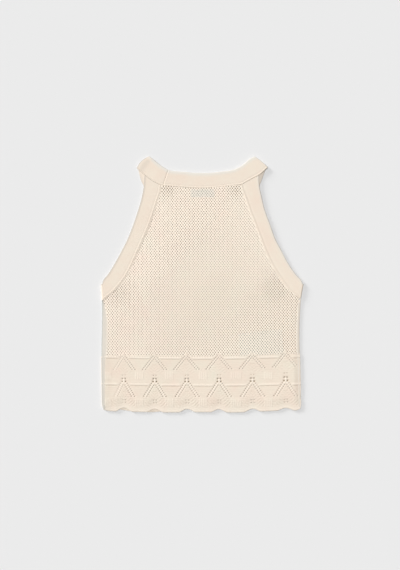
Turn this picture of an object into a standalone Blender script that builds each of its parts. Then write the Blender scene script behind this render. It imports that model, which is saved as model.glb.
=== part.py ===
"""Knit halter top, laid flat on its back: net body, pointelle border and double-knit bands.

Sizes are in millimetres. Across runs to the right and up runs to the neck, both from the middle of
the garment as it lies. Height is measured from the surface that it lies on.
"""
import math
from typing import Callable, NamedTuple

import bpy
from mathutils import Vector
from mathutils.geometry import delaunay_2d_cdt, intersect_point_line

MM = 0.001

# Walls and the air between the layers
PANEL_WALL = 1.4
BAND_WALL = 2.2
LABEL_WALL = 1.0
SEAM_GAP = 0.3
ARM_END_GAP = 0.66
NECK_SEAM_GAP = 0.39
LABEL_GAP = 0.45
FRONT_LOFT = 1.3
FRONT_WAVE = 0.25
EDGE_RAMP = 14.0
SIDE_WAVE_LENGTH = 150.0
UP_WAVE_LENGTH = 190.0

# Heights that follow from the walls
FRONT_REST = PANEL_WALL + SEAM_GAP
BAND_MIDDLE = BAND_WALL + SEAM_GAP / 2
FOLD_INSIDE = SEAM_GAP / 2
FOLD_OUTSIDE = SEAM_GAP / 2 + BAND_WALL

# Fineness of the surfaces
BAND_STEPS = 34
ARM_STEPS = 18
FOLD_STEPS = 4
PANEL_GRID = 21.0
OUTLINE_STEP = 15.0
HEM_STEP = 6.0
NECK_STEP = 8.0
RELIEF_STEP = 11.0
GRID_CLEAR = 1.5
OUTLINE_CLEAR = 7.0
RING_STRIDE = 2
MERGE_REACH = 0.02
BISECTIONS = 40
SHARP_ANGLE = math.radians(50)
KNIT_ROUGHNESS = 0.9


class BandRow(NamedTuple):
    """One line across a band, from its free edge to the edge that is linked to its neighbour."""
    free_across: float
    free_up: float
    linked_across: float
    linked_up: float


class Place(NamedTuple):
    """A place on an outline."""
    across: float
    up: float


class Chevron(NamedTuple):
    """A column of the border: its middle and the tops of its two chevrons."""
    across: float
    upper_top: float
    lower_top: float


class Tier(NamedTuple):
    """A tier of chevrons: how far its legs run down, and how far they lean from upright."""
    drop: float
    lean: float


class RibColumn(NamedTuple):
    """A group of ribs between two columns of chevrons."""
    across: float
    ribs: int


class Welt(NamedTuple):
    """A rolled row across the border, up at its crest on the left, in the middle and on the right."""
    left: float
    middle: float
    right: float


# Neckband, from the fold at the left tip to the fold at the right tip
NECK_ROWS = [
    BandRow(-102.5, 247.0, -127.0, 224.0),
    BandRow(-95.5, 241.5, -115.0, 213.0),
    BandRow(-87.0, 234.0, -101.5, 202.5),
    BandRow(-78.0, 227.5, -89.0, 195.0),
    BandRow(-66.0, 220.6, -76.0, 190.0),
    BandRow(-54.0, 218.0, -59.0, 188.5),
    BandRow(-38.0, 217.0, -40.0, 187.0),
    BandRow(-20.0, 215.2, -20.5, 185.5),
    BandRow(-1.0, 214.8, -1.0, 185.0),
    BandRow(18.0, 215.2, 18.0, 186.0),
    BandRow(37.5, 217.5, 37.5, 187.5),
    BandRow(55.0, 219.8, 56.5, 190.0),
    BandRow(68.5, 225.0, 74.0, 192.0),
    BandRow(78.0, 230.5, 85.5, 198.0),
    BandRow(87.5, 239.0, 97.5, 204.5),
    BandRow(94.5, 244.0, 109.5, 211.0),
    BandRow(100.0, 247.0, 126.0, 226.0),
]

# How far the folds at the tips stand out in a bow, and how far along the band the bow reaches
LEFT_TIP_BOW = 4.0
RIGHT_TIP_BOW = 1.0
TIP_BOW_REACH = 26.0

# Armbands, from the neckband to the fold at the underarm
LEFT_ARM_ROWS = [
    BandRow(-112.0, 210.0, -79.5, 188.0),
    BandRow(-112.5, 199.5, -80.0, 183.0),
    BandRow(-113.5, 188.0, -80.5, 177.5),
    BandRow(-118.0, 164.5, -86.5, 161.0),
    BandRow(-124.5, 142.5, -93.0, 140.5),
    BandRow(-133.5, 115.5, -102.0, 114.5),
    BandRow(-144.8, 86.9, -114.5, 85.5),
    BandRow(-155.5, 65.8, -125.8, 59.2),
    BandRow(-169.4, 40.2, -138.7, 30.8),
    BandRow(-182.2, 19.6, -152.8, 7.4),
    BandRow(-190.6, 9.3, -173.0, -15.9),
    BandRow(-195.8, 0.5, -194.2, -30.5),
]
RIGHT_ARM_ROWS = [
    BandRow(108.5, 208.0, 73.0, 191.0),
    BandRow(108.5, 199.5, 74.5, 185.0),
    BandRow(109.5, 188.0, 77.0, 178.0),
    BandRow(114.5, 164.0, 83.5, 161.0),
    BandRow(120.0, 142.5, 90.5, 140.5),
    BandRow(129.5, 116.5, 101.0, 114.5),
    BandRow(140.0, 87.5, 112.5, 83.5),
    BandRow(151.5, 65.5, 122.7, 58.3),
    BandRow(165.0, 40.0, 136.5, 31.5),
    BandRow(179.5, 19.0, 152.0, 7.5),
    BandRow(189.2, 8.7, 168.0, -12.5),
    BandRow(194.7, 1.0, 189.5, -27.3),
]

# The free edge of the hidden half of each armband, where it stands out beside the shown half
LEFT_UNDER_EDGE = [Place(-124.0, 218.0), Place(-119.0, 199.5)]
RIGHT_UNDER_EDGE = [Place(121.0, 219.0), Place(113.5, 199.5)]

# Wall across a band: share of the way to the linked edge, and how far the face stands out
BAND_PROFILE = [
    (0.0, -0.7), (0.06, 0.0), (0.18, 0.0), (0.36, 0.0), (0.56, 0.0), (0.76, 0.0),
    (0.81, -0.4), (0.86, 0.45), (0.94, 0.45), (1.0, -0.3),
]
BAND_INSIDE = [0.0, 0.18, 0.36, 0.56, 0.76, 1.0]

# The join of the neckband: its row in the table above, and the groove and ridge across the band
NECK_JOIN_ROW = 4
NECK_JOIN = [(-1.6, 0.0), (0.0, -0.6), (1.4, 0.4), (3.2, 0.0)]

# Side edges of the body, from the underarm to the corner of the hem
LEFT_SIDE = [
    Place(-194.2, -69.0), Place(-195.2, -126.5), Place(-195.2, -165.5),
    Place(-194.9, -184.5), Place(-194.6, -213.5), Place(-193.8, -233.0),
]
RIGHT_SIDE = [
    Place(187.2, -69.0), Place(186.8, -113.0), Place(188.4, -158.0),
    Place(188.8, -184.5), Place(189.6, -213.5), Place(189.6, -233.0),
]

# Lower edge of the shown panel, through the scallops, and its notches
HEM_LINE = [
    Place(-191.0, -241.8), Place(-180.0, -244.2), Place(-121.0, -246.0), Place(-63.0, -247.0),
    Place(1.0, -246.5), Place(64.5, -247.0), Place(126.0, -244.5), Place(170.0, -242.5),
    Place(180.0, -243.0), Place(188.0, -240.3),
]
HEM_NOTCHES = [
    Place(-151.5, -238.0), Place(-92.0, -240.5), Place(-29.5, -240.5),
    Place(31.5, -241.0), Place(96.5, -240.0), Place(160.0, -238.5),
]
NOTCH_REACH = 17.0

# Lower edge of the hidden panel: it is a little shorter, and drops into view under two notches
UNDER_HEM_RISE = 5.5
UNDER_HEM_DROP = 6.0
UNDER_DROP_ACROSS = -112.0
UNDER_DROP_REACH = 75.0
UNDER_NOTCHES = [-121.5, -61.0, 1.0, 64.5, 128.0]
UNDER_NOTCH_RISE = 4.5

# Pointelle border
CHEVRONS = [
    Chevron(-152.0, -137.5, -186.0),
    Chevron(-92.5, -137.5, -186.5),
    Chevron(-31.5, -137.5, -186.5),
    Chevron(31.0, -136.5, -186.5),
    Chevron(95.5, -135.5, -186.0),
    Chevron(159.5, -131.5, -185.0),
]
UPPER_TIER = Tier(26.0, math.radians(38.3))
LOWER_TIER = Tier(28.5, math.radians(35.0))
LEG_PROFILE = [(-3.6, 0.0), (-2.4, -0.45), (0.0, 0.5), (2.4, -0.45), (3.6, 0.0)]
LEG_FADE = 1.5
LEG_TOP = 1.5

# Pairs of larger eyelets over each lower chevron: beside its middle, above its top
EYELETS = [(3.2, 5.8), (4.6, 1.2)]
EYELET_RADIUS = 1.5
EYELET_DEPTH = 0.7

# Groups of ribs
RIB_COLUMNS = [
    RibColumn(-182.0, 3), RibColumn(-122.0, 4), RibColumn(-64.0, 4), RibColumn(1.0, 4),
    RibColumn(64.5, 5), RibColumn(127.0, 4),
]
RIB_PITCH = 4.2
RIB_HEIGHT = 0.45
RIB_FADE = 1.5
UPPER_RIBS = (-167.0, -184.0)
LOWER_RIBS = (-218.5, -237.0)

# Rolled rows across the border: height of the face by distance below the crest
UPPER_WELT = Welt(-139.0, -141.5, -138.0)
LOWER_WELT = Welt(-189.5, -192.0, -189.5)
WELT_PROFILE = [(-2.5, 0.0), (0.0, 0.6), (3.0, -0.35), (5.5, 0.0)]
WELT_CLEAR = 1.5
WELT_FADE = 3.0
WELT_SIDE_CLEAR = 3.0

# Woven labels inside, on the hidden panel
NECK_LABEL_ACROSS = 0.0
NECK_LABEL_WIDTH = 48.0
NECK_LABEL_LENGTH = 18.0
CARE_LABEL_MIDDLE = Place(112.5, -114.0)
CARE_LABEL_WIDTH = 84.0
CARE_LABEL_LENGTH = 46.0
CARE_LABEL_TURN = math.radians(6.5)

CREAM_KNIT = (0.83, 0.74, 0.64, 1.0)
CREAM_BAND = (0.86, 0.76, 0.65, 1.0)
LABEL_WHITE = (0.88, 0.88, 0.88, 1.0)


def smooth(knots: list[float], values: list, at: float):
    """Value at one place on the smooth curve that passes through the values at the knots."""
    last = len(knots) - 1
    span = 0
    while span < last - 1 and at > knots[span + 1]:
        span += 1

    def slope(index: int):
        low = max(index - 1, 0)
        high = min(index + 1, last)
        return (values[high] - values[low]) * (1.0 / (knots[high] - knots[low]))

    width = knots[span + 1] - knots[span]
    part = (at - knots[span]) / width
    start = values[span] * (2 * part**3 - 3 * part**2 + 1)
    end = values[span + 1] * (3 * part**2 - 2 * part**3)
    leave = slope(span) * (width * (part**3 - 2 * part**2 + part))
    arrive = slope(span + 1) * (width * (part**3 - part**2))
    return start + end + leave + arrive


def between(profile: list[tuple[float, float]], at: float) -> float:
    """Height of a profile at one place, with straight runs, and nothing outside it."""
    for (left, low), (right, high) in zip(profile, profile[1:]):
        if left <= at <= right:
            return low + (high - low) * (at - left) / (right - left)
    return 0.0


def ramp(value: float) -> float:
    """Smooth step from nothing to one."""
    value = min(max(value, 0.0), 1.0)
    return value * value * (3 - 2 * value)


class Band:
    """A flat knitted band, as its free edge and its linked edge along its length."""

    def __init__(self, rows: list[BandRow]):
        self.free = [Vector((row.free_across, row.free_up)) for row in rows]
        self.linked = [Vector((row.linked_across, row.linked_up)) for row in rows]
        middles = [(free + linked) / 2 for free, linked in zip(self.free, self.linked)]
        self.knots = [0.0]
        for here, there in zip(middles, middles[1:]):
            self.knots.append(self.knots[-1] + (there - here).length)
        self.length = self.knots[-1]
        self.bows = []

    def bow(self, row: int, outward: Vector, amount: float) -> None:
        """Makes the fold at an end row stand out in a bow."""
        self.bows.append((self.knots[row], outward * amount))

    def draw_in(self, row: int, inner_row: int) -> Vector:
        """Moves an end row in to the axis of its fold, and gives the way out of the fold."""
        edge = (self.linked[row] - self.free[row]).normalized()
        outward = Vector((edge.y, -edge.x))
        if outward.dot(self.free[row] - self.free[inner_row]) < 0:
            outward = -outward
        self.free[row] -= outward * FOLD_OUTSIDE
        self.linked[row] -= outward * FOLD_OUTSIDE
        return outward

    def at(self, along: float, share: float) -> Vector:
        """Place at a distance along the band and a share of the way to its linked edge."""
        free = smooth(self.knots, self.free, along)
        linked = smooth(self.knots, self.linked, along)
        place = free.lerp(linked, share)
        for knot, push in self.bows:
            fade = max(1 - abs(along - knot) / TIP_BOW_REACH, 0.0)
            place += push * (4.0 * share * (1.0 - share) * fade * fade)
        return place

    def linked_up(self, across: float) -> float:
        """How far up the linked edge lies at one place across."""
        low, high = 0.0, self.length
        for _ in range(BISECTIONS):
            along = (low + high) / 2
            if self.at(along, 1.0).x < across:
                low = along
            else:
                high = along
        return self.at(low, 1.0).y


def band_ring(spot: Callable[[float], Vector], outward: Vector, turn: float, rise: float) -> list[Vector]:
    """Points round the wall of a band on one line across it.

    Turn is nothing on the shown half, pi on the hidden half and between them in a fold. Rise is
    added to the face that shows.
    """
    shown = max(math.cos(turn), 0.0)
    ring = []
    for share, profile_rise in BAND_PROFILE:
        radius = FOLD_OUTSIDE + (profile_rise + rise) * shown
        flat = spot(share) + outward * (radius * math.sin(turn))
        ring.append(Vector((flat.x, flat.y, BAND_MIDDLE + radius * math.cos(turn))))
    for share in reversed(BAND_INSIDE):
        flat = spot(share) + outward * (FOLD_INSIDE * math.sin(turn))
        ring.append(Vector((flat.x, flat.y, BAND_MIDDLE + FOLD_INSIDE * math.cos(turn))))
    return ring


def fold_rings(spot: Callable[[float], Vector], outward: Vector, start: float) -> list[list[Vector]]:
    """Rings round a fold, without the flat ones on either side of it."""
    turns = [start + math.pi * step / FOLD_STEPS for step in range(1, FOLD_STEPS)]
    return [band_ring(spot, outward, turn, 0.0) for turn in turns]


def band_faces(rings: list[list[Vector]], closed: bool) -> list[tuple[int, ...]]:
    """Faces of a band between its rings, with its two ends closed unless it is a ring itself."""
    count = len(rings[0])
    faces = []
    for index in range(len(rings) if closed else len(rings) - 1):
        here = index * count
        there = (index + 1) % len(rings) * count
        for side in range(count):
            other = (side + 1) % count
            faces.append((here + side, there + side, there + other, here + other))
    if not closed:
        last = (len(rings) - 1) * count
        for face in end_faces():
            faces.append(face)
            faces.append(tuple(last + corner for corner in reversed(face)))
    return faces


def end_faces() -> list[tuple[int, ...]]:
    """Faces that close a band's end, from corners of its outer face to those of its inner face."""
    outer = [share for share, _ in BAND_PROFILE]
    inner_corner = {share: len(outer) + index for index, share in enumerate(reversed(BAND_INSIDE))}
    faces = []
    for low, high in zip(BAND_INSIDE, BAND_INSIDE[1:]):
        corners = [index for index, share in enumerate(outer) if low <= share <= high]
        faces.append(tuple(corners + [inner_corner[high], inner_corner[low]]))
    return faces


def joined(rings: list[list[Vector]]) -> list[Vector]:
    """All the corners of some rings, one ring after the other."""
    return [corner for ring in rings for corner in ring]


def add_material(name: str, colour: tuple[float, float, float, float]) -> bpy.types.Material:
    """Matt knit or woven material of one colour."""
    material = bpy.data.materials.new(name)
    material.use_nodes = True
    shader = material.node_tree.nodes["Principled BSDF"]
    shader.inputs["Base Color"].default_value = colour
    shader.inputs["Roughness"].default_value = KNIT_ROUGHNESS
    shader.inputs["Metallic"].default_value = 0.0
    return material


def add_piece(name: str, corners: list[Vector], faces: list[tuple[int, ...]],
              material: bpy.types.Material, garment: bpy.types.Collection) -> None:
    """Object for one piece, from corners in millimetres."""
    mesh = bpy.data.meshes.new(name)
    mesh.from_pydata([corner * MM for corner in corners], [], faces)
    mesh.materials.append(material)
    mesh.validate()
    mesh.shade_smooth()
    mesh.set_sharp_from_angle(angle=SHARP_ANGLE)
    piece = bpy.data.objects.new(name, mesh)
    garment.objects.link(piece)


def neckband_rings(band: Band, left_out: Vector, right_out: Vector) -> list[list[Vector]]:
    """Rings of the neckband: shown half, right tip, hidden half and left tip."""
    join = band.knots[NECK_JOIN_ROW]
    even = [band.length * step / BAND_STEPS for step in range(BAND_STEPS + 1)]
    groove = [join + offset for offset, _ in NECK_JOIN]
    clear = band.length / BAND_STEPS / 2
    places = [along for along in even if abs(along - join) > clear] + groove
    places.sort()

    def spot_at(along: float) -> Callable[[float], Vector]:
        return lambda share: band.at(along, share)

    rings = []
    for along in places:
        rings.append(band_ring(spot_at(along), left_out, 0.0, between(NECK_JOIN, along - join)))
    rings += fold_rings(spot_at(band.length), right_out, 0.0)
    for along in reversed(even):
        rings.append(band_ring(spot_at(along), left_out, math.pi, 0.0))
    rings += reversed(fold_rings(spot_at(0.0), left_out, 0.0))
    return rings[::-1]


def armband_rings(shown: Band, hidden: Band, outward: Vector, neck_edge: Callable[[float], float],
                  side: int) -> list[list[Vector]]:
    """Rings of an armband: shown half from the neckband down, underarm fold, hidden half back up.

    Its two ends follow the neckband's linked edge, with the seam gap between them.
    """
    def half_spot(band: Band, along: float) -> Callable[[float], Vector]:
        fade = max(1.0 - along / band.knots[2], 0.0)

        def spot(share: float) -> Vector:
            place = band.at(along, share)
            end = band.at(0.0, share)
            seam = neck_edge(end.x) - ARM_END_GAP
            return place + Vector((0.0, (seam - end.y) * fade))

        return spot

    steps = [shown.length * step / ARM_STEPS for step in range(ARM_STEPS + 1)]
    rings = [band_ring(half_spot(shown, along), outward, 0.0, 0.0) for along in steps]
    rings += fold_rings(half_spot(shown, shown.length), outward, 0.0)
    rings += [band_ring(half_spot(hidden, along), outward, math.pi, 0.0) for along in reversed(steps)]
    return rings if side < 0 else rings[::-1]


def even_points(places: list, spacing: float) -> list[Vector]:
    """Points at even spacing along the smooth line through some places."""
    line = [Vector((place[0], place[1])) for place in places]
    knots = [0.0]
    for here, there in zip(line, line[1:]):
        knots.append(knots[-1] + (there - here).length)
    count = max(round(knots[-1] / spacing), 1)
    return [smooth(knots, line, knots[-1] * step / count) for step in range(count + 1)]


def moved_aside(line: list[Vector], distance: float) -> list[Vector]:
    """A line moved to its left by a distance, corner by corner."""
    moved = []
    for index, point in enumerate(line):
        way = line[min(index + 1, len(line) - 1)] - line[max(index - 1, 0)]
        way.normalize()
        moved.append(point + Vector((-way.y, way.x)) * distance)
    return moved


def hem_line_up(across: float) -> float:
    """How far up the line through the scallops lies."""
    return smooth([place.across for place in HEM_LINE], [place.up for place in HEM_LINE], across)


def notch_shape(across: float, middle: float) -> float:
    """Share of a soft notch's depth at one place across."""
    near = abs(across - middle) / NOTCH_REACH
    return (1 - near * near) ** 2 if near < 1 else 0.0


def hem_up(across: float) -> float:
    """How far up the shown panel's hem lies, with a notch at each column of chevrons."""
    up = hem_line_up(across)
    for notch in HEM_NOTCHES:
        up += (notch.up - hem_line_up(notch.across)) * notch_shape(across, notch.across)
    return up


def under_hem_up(across: float) -> float:
    """How far up the hidden panel's hem lies, with its notches between those of the shown one."""
    near = abs(across - UNDER_DROP_ACROSS) / UNDER_DROP_REACH
    up = hem_line_up(across) + UNDER_HEM_RISE - UNDER_HEM_DROP * (1 - ramp(near))
    for middle in UNDER_NOTCHES:
        up += UNDER_NOTCH_RISE * notch_shape(across, middle)
    return up


def armhole(band: Band) -> list[Vector]:
    """Linked edge of an armband from just under the neckband to its fold, at the corners of its rings."""
    return [band.at(band.length * step / ARM_STEPS, 1.0) for step in range(1, ARM_STEPS + 1)]


def panel_outline(neckband: Band, left: Band, right: Band, left_tip: Vector, right_tip: Vector,
                  hem: Callable[[float], float]) -> tuple[list[Vector], list[Vector]]:
    """Outline of a panel against the clock, and its open edge down one side, along the hem and up."""
    left_armhole = moved_aside(armhole(left) + [left_tip], SEAM_GAP)
    right_armhole = moved_aside([right_tip] + armhole(right)[::-1], SEAM_GAP)

    left_corner = left.at(0.0, 1.0).x + NECK_SEAM_GAP
    right_corner = right.at(0.0, 1.0).x - NECK_SEAM_GAP
    count = round((right_corner - left_corner) / NECK_STEP)
    neck = []
    for step in range(count + 1):
        across = right_corner + (left_corner - right_corner) * step / count
        neck.append(Vector((across, neckband.linked_up(across) - NECK_SEAM_GAP)))

    left_side = even_points([left_armhole[-1]] + LEFT_SIDE, OUTLINE_STEP)[1:]
    right_side = even_points([right_armhole[0]] + RIGHT_SIDE, OUTLINE_STEP)[1:]
    start, end = HEM_LINE[0].across, HEM_LINE[-1].across
    count = round((end - start) / HEM_STEP)
    hem_line = []
    for step in range(count + 1):
        across = start + (end - start) * step / count
        hem_line.append(Vector((across, hem(across))))
    open_edge = left_side + hem_line + right_side[::-1]
    outline = open_edge + right_armhole + neck + left_armhole
    return outline, [left_armhole[-1]] + open_edge + [right_armhole[0]]


def distance_to(line: list[Vector], point: Vector) -> float:
    """Shortest distance from a point to a line of straight runs."""
    shortest = math.inf
    for here, there in zip(line, line[1:]):
        nearest, share = intersect_point_line(point, here, there)
        nearest = here.lerp(there, min(max(share, 0.0), 1.0))
        shortest = min(shortest, (point - nearest).length)
    return shortest


def inside(outline: list[Vector], point: Vector) -> bool:
    """Whether a point lies inside an outline."""
    within = False
    for here, there in zip(outline, outline[1:] + outline[:1]):
        if (here.y > point.y) != (there.y > point.y):
            crossing = here.x + (there.x - here.x) * (point.y - here.y) / (there.y - here.y)
            if point.x < crossing:
                within = not within
    return within


def grid_points(outline: list[Vector], spacing: float, clear: float) -> list[Vector]:
    """Points of a staggered grid that lie inside an outline and clear of it."""
    lows = Vector((min(p.x for p in outline), min(p.y for p in outline)))
    highs = Vector((max(p.x for p in outline), max(p.y for p in outline)))
    closed = outline + outline[:1]
    points = []
    row_height = spacing * math.sqrt(3) / 2
    for row in range(int((highs.y - lows.y) / row_height) + 1):
        for column in range(int((highs.x - lows.x) / spacing) + 1):
            point = lows + Vector(((column + row % 2 / 2) * spacing, row * row_height))
            if inside(outline, point) and distance_to(closed, point) > clear:
                points.append(point)
    return points


def tiers(chevron: Chevron) -> list[tuple[float, Tier]]:
    """Top and tier of the two chevrons in a column."""
    return [(chevron.upper_top, UPPER_TIER), (chevron.lower_top, LOWER_TIER)]


def leg_line(across: float, top: float, tier: Tier, offset: float, side: int) -> list[Vector]:
    """A line along one leg of a chevron, at a distance outside its raised stitches."""
    lean_across, lean_down = math.sin(tier.lean), math.cos(tier.lean)
    start = -LEG_TOP if offset > 0 else -offset / lean_across
    count = round((tier.drop - start) / RELIEF_STEP)
    stops = [start + (tier.drop - start) * step / count for step in range(count + 1)]
    stops.append(tier.drop + LEG_FADE)
    if offset > 0:
        stops.insert(0, start - LEG_FADE)
    points = []
    for below in stops:
        beside = (offset + max(below, start) * lean_across) / lean_down
        points.append(Vector((across + side * beside, top - below)))
    return points


def leg_height(across: float, top: float, tier: Tier, point: Vector) -> float:
    """How far a chevron's legs raise or sink the face at a point."""
    below = top - point.y
    offset = abs(point.x - across) * math.cos(tier.lean) - below * math.sin(tier.lean)
    lower_end = min(max((tier.drop + LEG_FADE - below) / LEG_FADE, 0.0), 1.0)
    upper_end = min(max((below + LEG_TOP + LEG_FADE) / LEG_FADE, 0.0), 1.0)
    return between(LEG_PROFILE, offset) * lower_end * upper_end


def leg_reach(chevron: Chevron, up: float) -> float:
    """How far beside its middle a column's legs reach at one height."""
    for top, tier in tiers(chevron):
        below = top - up
        if -LEG_TOP - LEG_FADE <= below <= tier.drop + LEG_FADE:
            foot = LEG_PROFILE[-1][0]
            return (foot + max(below, -LEG_TOP) * math.sin(tier.lean)) / math.cos(tier.lean)
    return 0.0


def eyelet_places() -> list[Vector]:
    """Middles of the larger eyelets over the lower chevrons."""
    places = []
    for chevron in CHEVRONS:
        for beside, above in EYELETS:
            for side in (-1, 1):
                places.append(Vector((chevron.across + side * beside, chevron.lower_top + above)))
    return places


def welt_up(welt: Welt, across: float) -> float:
    """How far up the crest of a welt lies at one place across."""
    return smooth([LEFT_SIDE[2].across, 0.0, RIGHT_SIDE[2].across], list(welt), across)


def welt_spans(up: float) -> list[tuple[float, float]]:
    """Stretches of a welt at one height, between the side edges and the legs of the chevrons."""
    edges = [LEFT_SIDE[2].across + WELT_SIDE_CLEAR]
    for chevron in CHEVRONS:
        reach = leg_reach(chevron, up) + WELT_CLEAR
        edges += [chevron.across - reach, chevron.across + reach]
    edges.append(RIGHT_SIDE[2].across - WELT_SIDE_CLEAR)
    return [(start, end) for start, end in zip(edges[0::2], edges[1::2]) if end - start > 3 * WELT_FADE]


def welt_height(point: Vector) -> float:
    """How far the welts raise or sink the face at a point."""
    height = 0.0
    for welt in (UPPER_WELT, LOWER_WELT):
        profile = between(WELT_PROFILE, welt_up(welt, point.x) - point.y)
        for start, end in welt_spans(point.y) if profile else []:
            if start <= point.x <= end:
                height += profile * min((point.x - start) / WELT_FADE, (end - point.x) / WELT_FADE, 1.0)
    return height


def welt_lines() -> list[list[Vector]]:
    """Lines along the welts, one for each corner of their profile."""
    lines = []
    for welt in (UPPER_WELT, LOWER_WELT):
        for below, _ in WELT_PROFILE:
            for start, end in welt_spans(welt.middle - below):
                stops = [start, start + WELT_FADE, (start + end) / 2, end - WELT_FADE, end]
                lines.append([Vector((x, welt_up(welt, x) - below)) for x in stops])
    return lines


def rib_lines(column: RibColumn, stretch: tuple[float, float]) -> list[list[Vector]]:
    """Upright lines of a group of ribs: a valley, then a crest and a valley for each rib."""
    top, bottom = stretch
    lines = []
    for index in range(2 * column.ribs + 1):
        across = column.across + (index - column.ribs) * RIB_PITCH / 2
        ups = [top, bottom]
        if index % 2:
            ups = [top, top - RIB_FADE, (top + bottom) / 2, bottom + RIB_FADE, bottom]
        lines.append([Vector((across, up)) for up in ups])
    return lines


def rib_height(point: Vector) -> float:
    """How far the ribs raise the face at a point."""
    for column in RIB_COLUMNS:
        beside = point.x - column.across
        if abs(beside) > column.ribs * RIB_PITCH / 2:
            continue
        along = (beside / RIB_PITCH + column.ribs / 2) % 1.0
        crest = 1.0 - abs(2.0 * along - 1.0)
        for top, bottom in (UPPER_RIBS, LOWER_RIBS):
            if bottom < point.y < top:
                end = min((top - point.y) / RIB_FADE, (point.y - bottom) / RIB_FADE, 1.0)
                return RIB_HEIGHT * crest * end
    return 0.0


def relief(point: Vector) -> float:
    """How far the border's stitches raise or sink the outer face at a point."""
    height = welt_height(point) + rib_height(point)
    for chevron in CHEVRONS:
        for top, tier in tiers(chevron):
            height += leg_height(chevron.across, top, tier, point)
    for middle in eyelet_places():
        height -= EYELET_DEPTH * max(1.0 - (point - middle).length / EYELET_RADIUS, 0.0)
    return height


def relief_lines() -> list[list[Vector]]:
    """Crests, grooves and feet of all that is raised on the border."""
    lines = welt_lines()
    for chevron in CHEVRONS:
        for top, tier in tiers(chevron):
            for offset, _ in LEG_PROFILE:
                for side in (-1, 1):
                    lines.append(leg_line(chevron.across, top, tier, offset, side))
    for middle in eyelet_places():
        corners = [Vector((math.cos(angle), math.sin(angle))) * EYELET_RADIUS
                   for angle in (0, math.pi / 2, math.pi, 3 * math.pi / 2)]
        lines.append([middle + corner for corner in corners + corners[:1]])
        lines.append([middle + corners[0], middle, middle + corners[2]])
    for column in RIB_COLUMNS:
        for stretch in (UPPER_RIBS, LOWER_RIBS):
            lines += rib_lines(column, stretch)
    return lines


def front_rest(open_edge: list[Vector], point: Vector) -> float:
    """Height of the shown panel's inner face: it lies on the hidden panel at its sides and hem."""
    rise = ramp(distance_to(open_edge, point) / EDGE_RAMP)
    wave = math.sin(2 * math.pi * point.x / SIDE_WAVE_LENGTH)
    wave *= math.cos(2 * math.pi * point.y / UP_WAVE_LENGTH)
    return FRONT_REST + (FRONT_LOFT + FRONT_WAVE * (1 + wave)) * rise


def flat_mesh(outline: list[Vector], points: list[Vector], lines: list[list[Vector]]) -> tuple:
    """Triangles over an outline, through loose points and along lines."""
    corners = list(outline) + list(points)
    edges = [(index, (index + 1) % len(outline)) for index in range(len(outline))]
    for line in lines:
        first = len(corners)
        corners += line
        edges += [(first + step, first + step + 1) for step in range(len(line) - 1)]
    result = delaunay_2d_cdt(corners, edges, [], 1, MERGE_REACH)
    flat_corners, triangles, origins = result[0], result[2], result[3]
    rim = [0] * len(outline)
    for index, sources in enumerate(origins):
        for source in sources:
            if source < len(outline):
                rim[source] = index
    return flat_corners, triangles, rim


def sheet_between(outline: list[Vector], outer: tuple, outer_height: Callable[[Vector], float],
                  inner: tuple, inner_height: Callable[[Vector], float]) -> tuple:
    """Closed wall between an outer and an inner face that share an outline."""
    outer_corners, outer_triangles, outer_rim = outer
    inner_corners, inner_triangles, inner_rim = inner
    corners = [Vector((p.x, p.y, outer_height(Vector((p.x, p.y))))) for p in outer_corners]
    shift = len(corners)
    corners += [Vector((p.x, p.y, inner_height(Vector((p.x, p.y))))) for p in inner_corners]
    faces = [tuple(triangle) for triangle in outer_triangles]
    faces += [tuple(shift + corner for corner in reversed(triangle)) for triangle in inner_triangles]
    for index in range(len(outline)):
        after = (index + 1) % len(outline)
        faces.append((outer_rim[index], shift + inner_rim[index],
                      shift + inner_rim[after], outer_rim[after]))
    return corners, faces


def label_slab(middle: Vector, width: float, length: float, turn: float) -> tuple:
    """Thin slab of a label that lies just over the hidden panel."""
    ways = (Vector((math.cos(turn), math.sin(turn))), Vector((-math.sin(turn), math.cos(turn))))
    corners = []
    for height in (FRONT_REST, FRONT_REST + LABEL_WALL):
        for across, up in ((-1, -1), (1, -1), (1, 1), (-1, 1)):
            flat = middle + ways[0] * (across * width / 2) + ways[1] * (up * length / 2)
            corners.append(Vector((flat.x, flat.y, height)))
    faces = [(3, 2, 1, 0), (4, 5, 6, 7)]
    faces += [(side, (side + 1) % 4, (side + 1) % 4 + 4, side + 4) for side in range(4)]
    return corners, faces


def centre_on_origin(pieces: list[bpy.types.Object]) -> None:
    """Moves all the pieces so that the middle of their box lies over the origin."""
    corners = [vertex.co for piece in pieces for vertex in piece.data.vertices]
    middle_x = (min(c.x for c in corners) + max(c.x for c in corners)) / 2
    middle_y = (min(c.y for c in corners) + max(c.y for c in corners)) / 2
    for piece in pieces:
        for vertex in piece.data.vertices:
            vertex.co.x -= middle_x
            vertex.co.y -= middle_y


def add_neckband(material: bpy.types.Material, garment: bpy.types.Collection) -> Band:
    """Neckband, and the flat band that its halves follow."""
    band = Band(NECK_ROWS)
    left_out = band.draw_in(0, 1)
    right_out = band.draw_in(-1, -2)
    band.bow(0, left_out, LEFT_TIP_BOW)
    band.bow(-1, right_out, RIGHT_TIP_BOW)
    rings = neckband_rings(band, left_out, right_out)
    add_piece("neckband", joined(rings), band_faces(rings, True), material, garment)
    return band


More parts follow.
